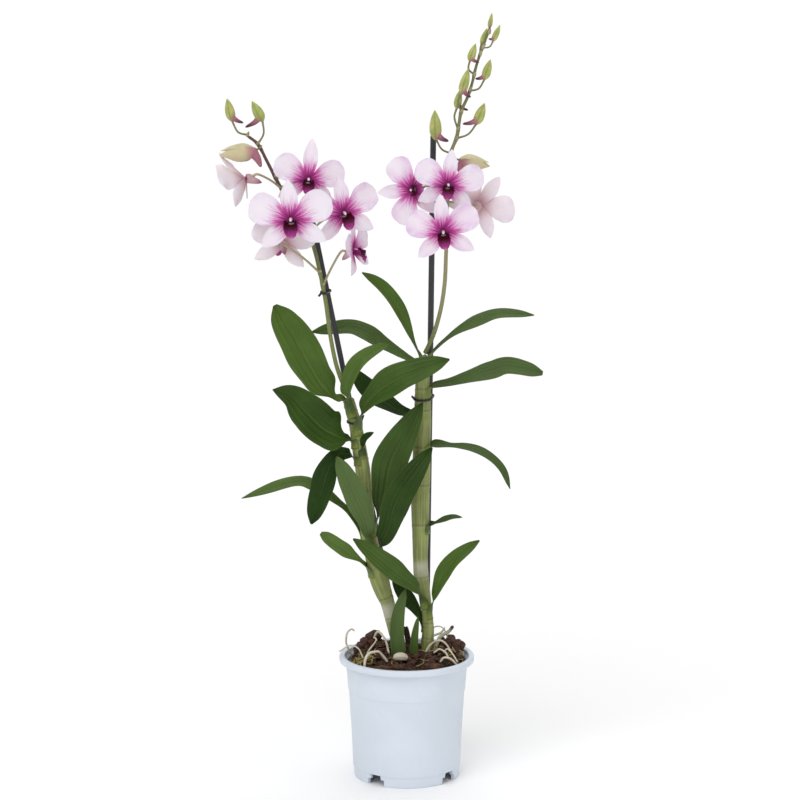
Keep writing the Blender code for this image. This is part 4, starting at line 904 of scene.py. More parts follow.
class PotSettings(bpy.types.PropertyGroup):
    """Sizes and colours of the pot, the stakes and the ties."""

    height: size_setting("Height", "From the foot of the pot to the top of its rim", 0.110)
    rim_radius: size_setting("Rim radius", "Outside radius of the rolled rim", 0.060)
    foot_radius: size_setting("Foot radius", "Outside radius of the foot ring", 0.0466)
    lip_height: size_setting("Lip height", "Height of the band under the rim", 0.006)
    plastic: colour_setting("Pot plastic", "Colour of the pot", (0.69, 0.755, 0.84))
    stake: colour_setting("Stake plastic", "Colour of the stakes", (0.028, 0.029, 0.033))
    tie: colour_setting("Tie", "Colour of the ties", (0.012, 0.012, 0.014))


class BarkSettings(bpy.types.PropertyGroup):
    """The filling of the pot and the roots on it."""

    chunks: count_setting("Chunks", "Number of large pieces of bark", 84)
    crumbs: count_setting("Crumbs", "Number of small pieces of bark", 420)
    strands: count_setting("Strands", "Number of loose fibres", 70)
    dark: colour_setting("Dark bark", "Colour of the outer plates", (0.040, 0.018, 0.010))
    red: colour_setting("Rusty bark", "Colour of the broken faces", (0.170, 0.062, 0.030))
    root: colour_setting("Root", "Colour of the dry roots", (0.70, 0.63, 0.50))
    root_green: colour_setting("Live root", "Colour of the live roots", (0.24, 0.26, 0.18))


class CaneSettings(bpy.types.PropertyGroup):
    """Colours of the canes and of the flower stems."""

    skin: colour_setting("Cane", "Colour of the cane skin", (0.275, 0.318, 0.100))
    ring: colour_setting("Node ring", "Colour of the rings at the nodes", (0.42, 0.36, 0.24))
    stem: colour_setting("Flower stem", "Colour of the flower stems", (0.20, 0.24, 0.07))
    maroon: colour_setting("Flush", "Colour of the spurs and of flushed stems", (0.085, 0.022, 0.045))
    bud: colour_setting("Bud", "Colour of the closed buds", (0.36, 0.42, 0.11))


class LeafSettings(bpy.types.PropertyGroup):
    """Colours and gloss of the leaves."""

    dark: colour_setting("Dark green", "Colour of the oldest leaves", (0.0105, 0.0325, 0.0036))
    light: colour_setting("Young green", "Colour of the youngest leaves", (0.150, 0.250, 0.045))
    under: colour_setting("Under side", "Colour of the under sides", (0.105, 0.150, 0.065))
    roughness: share_setting("Roughness", "Roughness of the waxy skin", 0.30)


class BloomSettings(bpy.types.PropertyGroup):
    """Sizes and colours of the blooms."""

    petal_length: size_setting("Petal length", "From the centre to the petal's end", 0.036)
    petal_half: size_setting("Petal half width", "Half of the petal's greatest width", 0.013)
    sepal_length: size_setting("Top sepal length", "From the centre to the tip", 0.035)
    sepal_half: size_setting("Top sepal half width", "Half of its greatest width", 0.0066)
    side_length: size_setting("Side sepal length", "From the centre to the tip", 0.033)
    side_half: size_setting("Side sepal half width", "Half of its greatest width", 0.0076)
    petal_angle: angle_setting("Petal angle", "Angle of the petals from the top sepal", 64)
    sepal_angle: angle_setting("Sepal angle", "Angle of the side sepals from the top one", 128)
    white: colour_setting("White", "Colour of the outer petals", (0.88, 0.81, 0.88))
    lilac: colour_setting("Lilac", "Colour of the wash near the edges", (0.70, 0.40, 0.72))
    magenta: colour_setting("Magenta", "Colour of the streaks round the heart", (0.56, 0.050, 0.350))
    throat: colour_setting("Throat", "Colour inside the lip", (0.060, 0.002, 0.016))
    back: colour_setting("Back", "Colour of the backs of the petals", (0.83, 0.77, 0.80))


class StageSettings(bpy.types.PropertyGroup):
    """Floor, light and camera."""

    floor: colour_setting("Floor", "Colour of the floor", (0.97, 0.97, 0.97))
    sky: bpy.props.FloatProperty(
        name="Sky", description="Strength of the even light", default=0.36, min=0.0)
    key: bpy.props.FloatProperty(
        name="Key light", description="Strength of the main light", default=1.29, min=0.0)
    focal: bpy.props.FloatProperty(
        name="Focal length", description="Lens in millimetres", default=141.34, min=1.0, unit="CAMERA")


SETTINGS = {
    "orchid_pot": PotSettings,
    "orchid_bark": BarkSettings,
    "orchid_cane": CaneSettings,
    "orchid_leaf": LeafSettings,
    "orchid_bloom": BloomSettings,
    "orchid_stage": StageSettings,
}


def pot_skin(pot):
    """The pot turned from one outline: radius and height run from the middle of the under side, up the
    outside, over the rim and down the inside. In a notch the foot's points are squeezed upwards, by
    the notch's height at the foot and by nothing where the foot ring ends."""
    high, rim, foot = pot.height / MM, pot.rim_radius / MM, pot.foot_radius / MM
    band = high - pot.lip_height / MM
    bead = np.linspace(0, math.pi / 2, 6)
    rim_out = np.column_stack((rim - 1.6 + 1.6 * np.cos(bead), high - 1.6 + 1.6 * np.sin(bead)))
    rim_in = np.column_stack((rim - 3.6 - 1.4 * np.sin(bead), high - 1.4 + 1.4 * np.cos(bead)))
    lip_low = np.column_stack((rim - 1.4 + 1.4 * np.sin(bead), band + 1.9 - 1.4 * np.cos(bead)))
    outline = np.vstack((
        ((6, FLOOR_UNDER), (24, FLOOR_UNDER), (foot - 3.6, FLOOR_UNDER),
         (foot - 3.2, 9.4), (foot - 3.0, 6.5), (foot - 3.0, 2.0), (foot - 2.9, 0.2), (foot - 2.6, 0),
         (foot - 0.7, 0), (foot - 0.1, 0.25), (foot, 0.8), (foot + 0.2, 3.0), (foot + 0.4, 6.0),
         (foot + 0.6, 8.8), (foot + 0.75, 9.2), (foot + 1.3, 9.7), (foot + 1.45, 10.2),
         (49.2, 40), (51.55, STEP_HEIGHT - 0.9), (51.7, STEP_HEIGHT - 0.4), (52.2, STEP_HEIGHT + 0.3),
         (52.3, STEP_HEIGHT + 0.9), (53.1, 92), (54.0, band - 0.8), (54.2, band - 0.2),
         (54.8, band + 0.2), (56.8, band + 0.4)),
        lip_low, rim_out, rim_in,
        ((54.9, high - 3.0), (54.4, high - 4.4), (53.3, band), (50.2, 60), (foot - 0.4, FLOOR_HEIGHT + 2),
         (foot - 2.0, FLOOR_HEIGHT), (20, FLOOR_HEIGHT), (4, FLOOR_HEIGHT)),
    ))
    angle = -np.linspace(0, TURN, POT_STEPS, endpoint=False)
    gap = (np.degrees(angle)[:, None] + 90 - np.array(NOTCH_ANGLES) + 180) % 360 - 180
    beside = np.abs(np.radians(gap)).min(1) * foot
    notch = np.where(beside < NOTCH_NECK, NOTCH_HEIGHT, np.where(beside < NOTCH_HALF, NOTCH_STEP, 0.0))
    radius, height = outline[:, 0, None], outline[:, 1, None]
    in_foot = np.zeros_like(height)
    in_foot[FOOT_POINTS] = 1
    raised = height + notch * np.clip(1 - height / FOOT_RISE, 0, 1) * in_foot
    rings = np.stack((radius * np.cos(angle), radius * np.sin(angle), raised), axis=-1)
    return loft(rings)


def mound(x, y):
    """Height of the filling: a dome that falls with the square of the distance from the middle, and
    bells on it, a hump behind on the left, another on the right and a dip in front."""
    height = MOUND_LOW + MOUND_RISE * (1 - (x**2 + y**2) / MOUND_REACH**2)
    for middle_x, middle_y, rise, spread in MOUND_HUMPS:
        height = height + rise * np.exp(-((x - middle_x) ** 2 + (y - middle_y) ** 2) / spread)
    return height


def filling(rng):
    """The body of the filling: rings that widen up the wall and close over the mound, roughened by
    soft noise on top."""
    wall = np.array(FILLING_WALL)
    angle = -np.linspace(0, TURN, 120, endpoint=False)
    out = np.linspace(wall[-1, 0], 1.5, 34)
    radius = np.concatenate((wall[:, 0], out))[:, None]
    x, y = radius * np.cos(angle), radius * np.sin(angle)
    top = mound(x[len(wall):], y[len(wall):]) - 2.5
    height = np.vstack((np.broadcast_to(wall[:, 1, None], (len(wall), len(angle))), top))
    rings = np.stack((x, y, height), axis=-1)
    surface = rings[len(wall):]
    surface[..., 2] += 1.3 * ripple(surface, 3.0, rng) + 0.9 * ripple(surface, 1.1, rng)
    return loft(rings, tone=0.25)


def blocks(centres, sizes, tones, rng, rows=8, sides=12, tilt=0.7):
    """Rough blocks: a ball pressed towards a box by taking the power 0.5 of its coordinates, sized,
    dented by soft noise, tilted and turned, and put at its centre."""
    count = len(centres)
    lat = np.linspace(0.07, 0.93, rows)[:, None] * math.pi
    lon = np.linspace(0, TURN, sides, endpoint=False)
    ball = np.stack((np.sin(lat) * np.cos(lon), np.sin(lat) * np.sin(lon), np.cos(lat) + 0 * lon), axis=-1)
    box = np.sign(ball) * np.abs(ball) ** 0.5
    spot = box[None] + rng.uniform(0, 40, (count, 1, 1, 3))
    dents = 1 + 0.2 * ripple(spot, 0.8, rng)[..., None] + 0.1 * ripple(spot, 0.3, rng)[..., None]
    shape = box[None] * dents * sizes[:, None, None, :]
    lean = rng.uniform(-tilt, tilt, (count, 2))
    spin = rng.uniform(0, TURN, count)
    zero, one = np.zeros(count), np.ones(count)
    about_x = np.array(((one, zero, zero), (zero, np.cos(lean[:, 0]), -np.sin(lean[:, 0])),
                        (zero, np.sin(lean[:, 0]), np.cos(lean[:, 0])))).transpose(2, 0, 1)
    about_y = np.array(((np.cos(lean[:, 1]), zero, np.sin(lean[:, 1])), (zero, one, zero),
                        (-np.sin(lean[:, 1]), zero, np.cos(lean[:, 1])))).transpose(2, 0, 1)
    about_z = np.array(((np.cos(spin), -np.sin(spin), zero), (np.sin(spin), np.cos(spin), zero),
                        (zero, zero, one))).transpose(2, 0, 1)
    turned = shape @ (about_z @ about_y @ about_x).transpose(0, 2, 1)[:, None]
    return loft(turned + centres[:, None, None, :], tone=tones[:, None, None])


def scattered(count, reach, rng):
    """Places on a disc: the angle grows by the golden angle, the radius as the square root."""
    order = (np.arange(count) + 0.5) / count
    around = np.arange(count) * GOLDEN_ANGLE + rng.uniform(-0.3, 0.3, count)
    out = reach * np.sqrt(order)
    return out * np.cos(around), out * np.sin(around)


def bark_pieces(bark, rng):
    """The filling, large chunks laid over it and crumbs between them, the chosen chunks and splinters."""
    x, y = scattered(bark.chunks, 48.0, rng)
    sizes = rng.uniform((3.4, 2.4, 1.5), (6.6, 4.4, 3.0), (bark.chunks, 3))
    reach = np.hypot(x, y)
    pull = np.minimum(1.0, (51.0 - sizes[:, 0]) / np.maximum(reach, 1))
    x, y = x * pull, y * pull
    centres = np.column_stack((x, y, mound(x, y) + rng.uniform(-1.2, 2.4, bark.chunks)))
    tones = rng.uniform(0, 1, bark.chunks) ** 1.4
    large = blocks(centres, sizes, tones, rng)
    x, y = scattered(bark.crumbs, 49.5, rng)
    centres = np.column_stack((x, y, mound(x, y) + rng.uniform(-0.5, 2.8, bark.crumbs)))
    sizes = rng.uniform((1.0, 0.7, 0.5), (2.7, 1.8, 1.2), (bark.crumbs, 3))
    small = blocks(centres, sizes, rng.uniform(0, 1, bark.crumbs), rng, 5, 7, 1.4)
    centres, sizes, tones = (np.array(column, float) for column in zip(*CHOSEN_CHUNKS))
    chosen = blocks(centres, sizes, tones, rng, 10, 16, 0.25)
    count = SPLINTERS * len(HEAPS)
    spots = np.repeat(HEAPS, SPLINTERS, axis=0) + rng.uniform((-9, -6), (9, 6), (count, 2))
    centres = np.column_stack((spots, mound(*spots.T) + rng.uniform(2.0, 6.5, count)))
    sizes = rng.uniform((2.0, 1.6, 1.6), (3.6, 3.0, 4.4), (count, 3))
    splinters = blocks(centres, sizes, rng.uniform(0, 0.8, count), rng, 7, 9, 1.2)
    return [filling(rng), large, small, chosen, splinters]


def strands(count, centre, reach, size, rise, rng):
    """Loose fibres: each a thin tube along a lazy arc that lies on the mound."""
    angle = rng.uniform(0, TURN, count)
    out = reach * np.sqrt(rng.uniform(0, 1, count))
    start = np.column_stack((centre[0] + out * np.cos(angle), centre[1] + out * np.sin(angle)))
    heading = rng.uniform(0, TURN, count)[:, None]
    along = np.linspace(0, 1, 8)[None, :]
    span = rng.uniform(0.5, 1.3, (count, 1)) * size
    bend = rng.uniform(-2.6, 2.6, (count, 1))
    x = start[:, :1] + span * along * np.cos(heading + bend * along)
    y = start[:, 1:] + span * along * np.sin(heading + bend * along)
    keep = np.minimum(1.0, 50.5 / np.hypot(x, y))
    x, y = x * keep, y * keep
    hump = rng.uniform(0.4, 3.4, (count, 1)) * rise
    z = mound(x, y) + 1.2 + hump * np.sin(math.pi * along)
    path = np.stack((x, y, z), axis=-1)
    thick = rng.uniform(0.22, 0.55, (count, 1)) * np.array((1, 1, 1, 0.95, 0.9, 0.8, 0.6, 0.35))
    tones = rng.uniform(0, 1, count)[:, None, None]
    return loft(tube(path, thick, 5, (0.13, 0.27, 0.95)), tone=tones)


def root_skin(path, radius, green, rng, dark_tip=False):
    """A root: a tube whose radius swells and thins along a smooth path, rounded at its ends."""
    share = np.linspace(0, 1, 56)
    line = spline(path, share)
    line += 0.55 * np.stack([ripple(line, 3.5, rng) for _ in range(3)], axis=-1)
    swell = 1 + 0.14 * ripple(line, 2.2, rng)
    ends = np.clip(np.minimum(share * 60, (1 - share) * 22), 0.04, 1) ** 0.5
    dark = smoothstep(0.8, 0.95, share)[:, None] * dark_tip
    return loft(tube(line, radius * swell * ends, 12), green=green, dark=dark)


def bulb_skin():
    """A pale old bulb lying in the bark: an egg of eased radius with shallow ribs."""
    share = np.linspace(0, 1, 20)
    line = spline(BULB_PATH, share)
    radius = eased(share, *BULB_RADIUS)[:, None]
    angle = np.linspace(0, TURN, 24, endpoint=False)
    return loft(tube(line, radius * (1 + 0.06 * np.cos(6 * angle)), 24), green=0.1)


def cane_skin(name):
    """A cane: rings of the table's radius along its axis, with a bell-shaped swelling at each node, a
    like groove above it, a sheath film up to four fifths of each joint, and lengthwise ribs that
    follow two cosines of the angle."""
    share = np.linspace(0, 1, 420)
    line = spline(CANES[name], share)
    height = line[:, 2]
    nodes = np.array(CANE_NODES[name], float)
    near = height[:, None] - nodes
    ring = np.exp(-(near / NODE_REACH) ** 2).sum(1)
    groove = np.exp(-((near - GROOVE_RISE) / GROOVE_REACH) ** 2).sum(1)
    below = np.concatenate(((CANE_FOOT,), nodes))
    above = np.concatenate((nodes, (nodes[-1] + LAST_JOINT,)))
    joint = np.clip(np.searchsorted(nodes, height), 0, len(nodes))
    part = (height - below[joint]) / (above[joint] - below[joint])
    sheath = smoothstep(0.84, 0.8, part) * smoothstep(0.0, 0.04, part)
    angle = np.linspace(0, TURN, 48, endpoint=False)
    ribs = 1 + 0.008 * np.cos(9 * angle + 0.02 * height[:, None]) + 0.005 * np.cos(22 * angle + 1.1)
    radius = (line[:, 3] + NODE_SWELL * ring - NODE_SWELL * groove + FILM * sheath)[:, None] * ribs
    ends = np.sqrt(np.clip((1 - share) * 90, 0.03, 1))[:, None]
    paper = np.exp(-((height - PAPER[name]) / PAPER_REACH) ** 4)
    return loft(tube(line[:, :3], radius * ends, 48, (0, 1, 0)), ring=np.clip(ring, 0, 1)[:, None],
                groove=np.clip(groove, 0, 1)[:, None] * 0.7, sheath=sheath[:, None], paper=paper[:, None])


def leaf_skin(name, seed):
    """A leaf: its path starts on the cane below the node, runs up beside it as a sheath that wraps the
    cane, and leaves as a blade of eased width with a folded middle and waved edges."""
    cane, node, path, width, facing, sheath_angle, base = LEAVES[name]
    tone, grey, fold, wave, blunt, belly, pleats = LEAF_LOOKS[name]
    x, y, radius = cane_at(CANES[cane], node)
    x_low, y_low, radius_low = cane_at(CANES[cane], node - SHEATH)
    heading = unit((path[0][0] - x, path[0][1] - y, 0.0))
    sheath = math.radians(sheath_angle)
    wrap = max(radius, radius_low) + CLEARANCE
    low = np.array((x_low, y_low, node - SHEATH)) + heading * wrap
    top = np.array((x, y, node)) + heading * wrap
    share = np.linspace(0, 1, 72)
    spine = spline((low, top) + tuple(np.array(p, float) for p in path), share)
    total = np.linalg.norm(np.diff(spine, axis=0), axis=1).sum()
    along = (share * total - SHEATH) / (total - SHEATH)
    mix = eased(along, (-0.1, 0.0, 0.09, 0.2, 0.34, 1), (0, 0.05, 0.35, 0.75, 1, 1))[:, None]
    upper = unit((1 - mix) * -heading + mix * unit(facing))
    shares = (-SHEATH / (total - SHEATH),) + LEAF_SHARES
    spread = np.array((0, 0, 0, base, 0.42 + 0.58 * base, 1.0, 0.94, 0.76 + 0.13 * blunt,
                       0.44 + 0.26 * blunt, 0.02 + 0.2 * blunt)) * width
    spread[:3] = wrap * sheath * 0.97, wrap * sheath, wrap * sheath * 0.8
    spread[-1] += 0.3
    half = eased(along, shares, spread)
    curl = eased(along, (shares[0], 0.0, 0.09, 0.2, 0.5, 1),
                 (sheath, sheath, min(sheath, 0.8), 0.5, 0.3, 0.2))
    grow = smoothstep(0.02, 0.3, along)
    half = half * (1 + belly * grow * (0.5 - along))
    thick = LEAF_THICKNESS * (1 - 0.45 * smoothstep(0.3, 1.0, along))[:, None]
    bend = np.random.default_rng(seed).uniform(0, TURN)
    rings, places, under = blade(spine, upper, np.maximum(half, 0.3), curl, thick, 26, fold * grow[:, None],
                                 0.10 * grow[:, None], wave * grow[:, None], 0.9 + total / 70, bend,
                                 pleats * grow[:, None])
    return loft(rings, places, share, under=under, tone=tone, grey=grey)


def shoot_skin(name):
    """A young shoot: one rolled leaf that opens upwards, widest at two fifths of its height."""
    path, width, facing, tone, grey = SHOOTS[name]
    share = np.linspace(0, 1, 56)
    spine = spline(path, share)
    half = width * eased(share, (0, 0.2, 0.4, 0.55, 0.7, 0.84, 0.94, 1),
                         (0.6, 0.85, 1, 1, 0.9, 0.66, 0.38, 0.04))
    curl = np.interp(share, (0, 0.4, 1), (1.3, 0.9, 0.3))
    rings, places, under = blade(spine, unit(facing), half, curl, 0.9, 14, 0.12, 0.06, 0.03, 2.0, 1.0)
    return loft(rings, places, 0.15 + 0.85 * share, under=under, tone=tone, grey=grey)


def spur_skin(path, radius, widths, flush):
    """The spur of a bud: a cone along a bent path, whose radius is the bud's times a share that runs
    straight from each width to the next."""
    share = np.linspace(0, 1, 16)
    cone = tube(spline(path, share), radius * np.interp(share, BUD_SPUR_KNOTS, widths), 14)
    return loft(cone, flush=np.interp(share, (0, 1), flush)[:, None], seam=0.0, cream=0.0)


def bud_skin(path, tip, radius, spur):
    """A closed bud: an egg from the stalk to the tip with three shallow seams, and a spur, a bent cone
    that leaves it below on one side."""
    base = np.array(path[-1], float)
    tip = np.array(tip, float)
    axis = tip - base
    share = np.linspace(-0.05, 1, 36)
    line = base + axis * share[:, None]
    lean = np.array(spur, float) - base
    angle = np.linspace(0, TURN, 30, endpoint=False)
    seam = np.exp(-((np.mod(angle + 0.4, TURN / 3) - TURN / 6) / 0.2) ** 2)
    round_off = eased(share, (-0.05, 0.0, 0.14, 0.4, 0.72, 0.93, 1),
                      (0.16, 0.42, 0.86, 1.0, 0.68, 0.22, 0.03))[:, None]
    rings = tube(line, radius * round_off * (1 - 0.09 * seam), 30)
    toward = unit(rings - line[:, None]) @ unit(lean)
    flush = smoothstep(0.45, -0.05, share)[:, None] * (0.35 + 0.5 * toward)
    body = loft(rings, flush=np.clip(flush, 0, 1), seam=0.6 * seam, cream=0.0)
    heel = base + axis * 0.2
    bend = 0.55 * heel + 0.45 * np.array(spur, float) - 0.06 * axis
    return [body, spur_skin((heel, bend, spur), radius, (0.66, 0.46, 0.24, 0.05), (0.45, 1.05))]


def opening_bud(path, tip, radius, spur):
    """A bud about to open: cupped blades round its axis, each swelling from the base and closing
    towards the tip, with the first a little spread, and a spur below."""
    base = np.array(path[-1], float)
    axis = np.array(tip, float) - base
    reach = np.linalg.norm(axis)
    ahead = axis / reach
    down = unit(np.array(spur, float) - base)
    aside = unit(np.cross(ahead, down))
    share = np.linspace(0, 1, 30)
    lofts = []
    for turn, width, spread, size, stand in OPENING_BLADES:
        out = math.cos(turn) * -down + math.sin(turn) * aside
        away = radius * eased(share, (0, 0.25, 0.6, 1), (0.3, 0.86, 0.82, spread)) * stand
        spine = base + ahead * (share * reach * size)[:, None] + out * away[:, None]
        half = radius * width * eased(share, (0, 0.25, 0.6, 0.88, 1), (0.5, 1.05, 1.0, 0.42, 0.05))
        rings, places, _ = blade(spine, -out, half, 0.95, 0.7, 10, 0, 0, 0.06, 2.0, turn)
        flush = smoothstep(0.55, 0.0, share)[:, None] * (0.42 - 0.3 * math.cos(turn))
        lofts.append(loft(rings, places, share, flush=flush, seam=0.0, cream=0.85))
    heel = base + ahead * 0.12 * reach
    bend = 0.5 * heel + 0.5 * np.array(spur, float) - ahead
    return lofts + [spur_skin((heel, bend, spur), radius, (0.6, 0.42, 0.2, 0.05), (0.62, 0.62))]


def stalk(path, radius, flush, pale):
    """A stalk: a tube along a smooth path, wider at both ends by the fourth power of the distance
    from its middle."""
    share = np.linspace(0, 1, 28)
    flare = 1 + 0.25 * (2 * share - 1) ** 4
    flush, pale = (np.interp(share, (0, 1), ends)[:, None] for ends in (flush, pale))
    return loft(tube(spline(path, share), radius * flare, 10), flush=flush, pale=pale)


def bract(spot, out):
    """A small scale that clasps the stem under a stalk: a blade whose midline rises evenly and leans
    out by the power 1.5 of its length."""
    share = np.linspace(0, 1, 12)
    line = np.array(spot, float) + np.outer(share, (0, 0, 5.0)) + np.outer(share**1.5, unit(out) * 2.4)
    half = 1.9 * eased(share, (0, 0.3, 0.8, 1), (0.9, 1.0, 0.5, 0.05))
    rings, places, _ = blade(line, -unit(out), half, 1.0, 0.4, 6)
    return loft(rings, places, share, flush=0.1, pale=0.65)


def stem_skins(name, blooms):
    """A flower stem with a swelling and a bract at each stalk, and the stalks of its buds and blooms."""
    rows = np.array(STEMS[name], float)
    buds = BUDS[name] + (OPENING_BUDS[name],)
    share = np.linspace(0, 1, 220)
    line = spline(rows, share)
    starts = np.array([row[0][0] for row in buds] + [row[5] for row in blooms], float)
    near = np.linalg.norm(line[:, None, :3] - starts, axis=-1)
    radius = line[:, 3] + 0.35 * np.exp(-(near / 3.0) ** 2).sum(1).clip(0, 1)
    level = (line[:, 2] - rows[0, 2]) / (rows[-1, 2] - rows[0, 2])
    if name == "left":
        flush = 0.85 * smoothstep(0.42, 0.8, level)
        pale = 0.05 * level
    else:
        flush = 0.12 + 0.1 * level
        pale = 0.42 * smoothstep(0.0, 0.3, level) * smoothstep(0.9, 0.4, level)
    ends = np.clip((1 - share) * 60, 0.1, 1) ** 0.5
    lofts = [loft(tube(line[:, :3], radius * ends, 16, (0, 1, 0)), flush=flush[:, None], pale=pale[:, None])]
    for path, _, size, _ in buds:
        lofts.append(stalk(path, 0.85 if size > 3 else 0.7, (0.35, 0.15), (0.1, 0.15)))
    for centre, facing, _, _, size, start, _ in blooms:
        front = unit(facing)
        back = np.array(centre, float) - front * (-CORE_DEPTHS[0] * size - 0.6)
        behind = back - front * 5.0
        middle = 0.5 * (np.array(start, float) + behind) + np.array((0, 0, 1.5))
        lofts.append(stalk((start, middle, behind, back), 1.0, (0.25, 0.0), (0.5, 0.8)))
    for spot in starts:
        below = rows[np.abs(rows[:, 2] - spot[2]).argmin(), :3]
        out = np.array((0.3, -1.0, 0.0)) + 0.2 * unit(spot - below)
        lofts.append(bract(spot - (0, 0, 1.5) + 1.2 * unit(out), out))
    return lofts


def bloom_axes(row):
    """The bloom's centre, its right, up and front directions, its tilt and its size."""
    centre, facing, top, tilt, size = row[:5]
    front = unit(facing)
    up = unit(np.asarray(top, float) - front * np.dot(top, front))
    return np.array(centre, float), np.cross(up, front), up, front, math.radians(tilt), size


def tepal_skin(axes, turn, reach, half, knots, form, lift, curl, wave, tint, rng):
    """One petal or sepal: its midline leaves the centre at an angle, leans forward by the tangent of
    the tilt and falls back by the square of the distance, and its half width follows the form."""
    centre, right, up, front, tilt, size = axes
    out = math.sin(turn) * right + math.cos(turn) * up
    share = np.linspace(0, 1, 44)
    along = (TEPAL_START + (reach - TEPAL_START) * share) * size
    lean = math.tan(tilt) * along - TEPAL_DROOP * along**2 + TEPAL_LIFT + lift * size
    lean += 0.5 * np.sin(share * 5 + rng.uniform(0, TURN)) * share
    spine = centre + np.outer(along, out) * math.cos(tilt) ** 0.5 + np.outer(lean, front)
    upper = unit(front - out * math.tan(tilt))
    width = half * size * eased(share, knots, form)
    thick = (0.8 - 0.35 * share)[:, None]
    rings, places, under = blade(spine, upper, width, curl, thick, 14, 0.04, -0.03, wave * share[:, None],
                                 rng.uniform(1.6, 2.6), rng.uniform(0, TURN))
    return loft(rings, places, share, under=under, tint=tint)


def bloom_skins(row, sizes, longer, rng):
    """Three sepals and two broad petals round a short core, with the spur behind and below it."""
    axes = bloom_axes(row)
    centre, _, up, front, _, size = axes
    tint = row[6]
    top = (sizes.sepal_length / MM, sizes.sepal_half / MM)
    side = (sizes.side_length / MM, sizes.side_half / MM)
    petal = (sizes.petal_length / MM, sizes.petal_half / MM)
    lofts = []
    # Turn from the top, length and half width, form, how far it stands ahead, curl and edge wave
    for turn, (reach, half), knots, form, lift, curl, wave in (
            (0.0, (top[0] * longer, top[1] * 1.1), SEPAL_KNOTS, SEPAL_FORM, 0.1, 0.4, 0.10),
            (sizes.sepal_angle, side, SEPAL_KNOTS, SEPAL_FORM, -0.15, 0.35, 0.10),
            (-sizes.sepal_angle, side, SEPAL_KNOTS, SEPAL_FORM, -0.3, 0.35, 0.10),
            (sizes.petal_angle, petal, PETAL_KNOTS, PETAL_FORM, 1.0, 0.25, 0.12),
            (-sizes.petal_angle, petal, PETAL_KNOTS, PETAL_FORM, 1.15, 0.25, 0.12)):
        turn = turn + rng.uniform(-0.05, 0.05)
        reach = reach * rng.uniform(0.97, 1.0)
        shade = tint * (0.6 if half < petal[1] else 1.0)
        lofts.append(tepal_skin(axes, turn, reach, half, knots, form, lift, curl, wave, shade, rng))
    share = np.linspace(0, 1, 20)
    core = spline([centre + front * depth * size for depth in CORE_DEPTHS], share)
    radius = eased(share, *CORE_RADIUS) * size
    rear = smoothstep(0.75, 0.55, share)[:, None]
    lofts.append(loft(tube(core, radius, 18), along=np.full(20, 0.06), under=rear, tint=tint))
    heel = SPUR_HANGING if front[1] < -0.5 else SPUR_SWEPT
    spur = spline([centre - front * back * size - up * down * size for back, down in heel], share)
    radius = eased(share, *SPUR_RADIUS) * size
    red = smoothstep(0.25, 1.0, share)[:, None]
    lofts.append(loft(tube(spur, radius, 16), along=0.3 * share, under=1.0, tint=tint, heel=red))
    return lofts


def column_skin(row):
    """The column: a short hooded rod that leans down a little and ends in a round cap."""
    centre, _, up, front, _, size = bloom_axes(row)
    share = np.linspace(0, 1, 26)
    line = spline([centre + (front * ahead + up * rise) * size for ahead, rise in COLUMN_PATH], share)
    return loft(tube(line, eased(share, *COLUMN_RADIUS) * size, 18))


def lip_skin(row):
    """The lip: a blade that starts under the column, rolls up on both sides into a funnel, then turns
    down and opens into a pointed tongue with crimped edges."""
    centre, _, up, front, tilt, size = bloom_axes(row)
    if tilt > math.radians(HALF_OPEN_TILT):
        size = size * HALF_OPEN_LIP
        centre = centre + front * HALF_OPEN_SHIFT
    share = np.linspace(0, 1, 56)
    spine = spline([centre + (front * ahead - up * down) * size for down, ahead in LIP_PATH], share)
    half = eased(share, LIP_KNOTS, LIP_HALF) * size
    curl = eased(share, LIP_KNOTS, LIP_CURL)
    upper = unit(up + front * eased(share, LIP_KNOTS, LIP_TURN)[:, None])
    wave = 0.16 * smoothstep(0.25, 0.6, share)[:, None]
    rings, places, under = blade(spine, upper, half, curl, 0.7, 16, 0.0, 0.0, wave, 4.5, 0.7)
    return loft(rings, places, share, under=under)


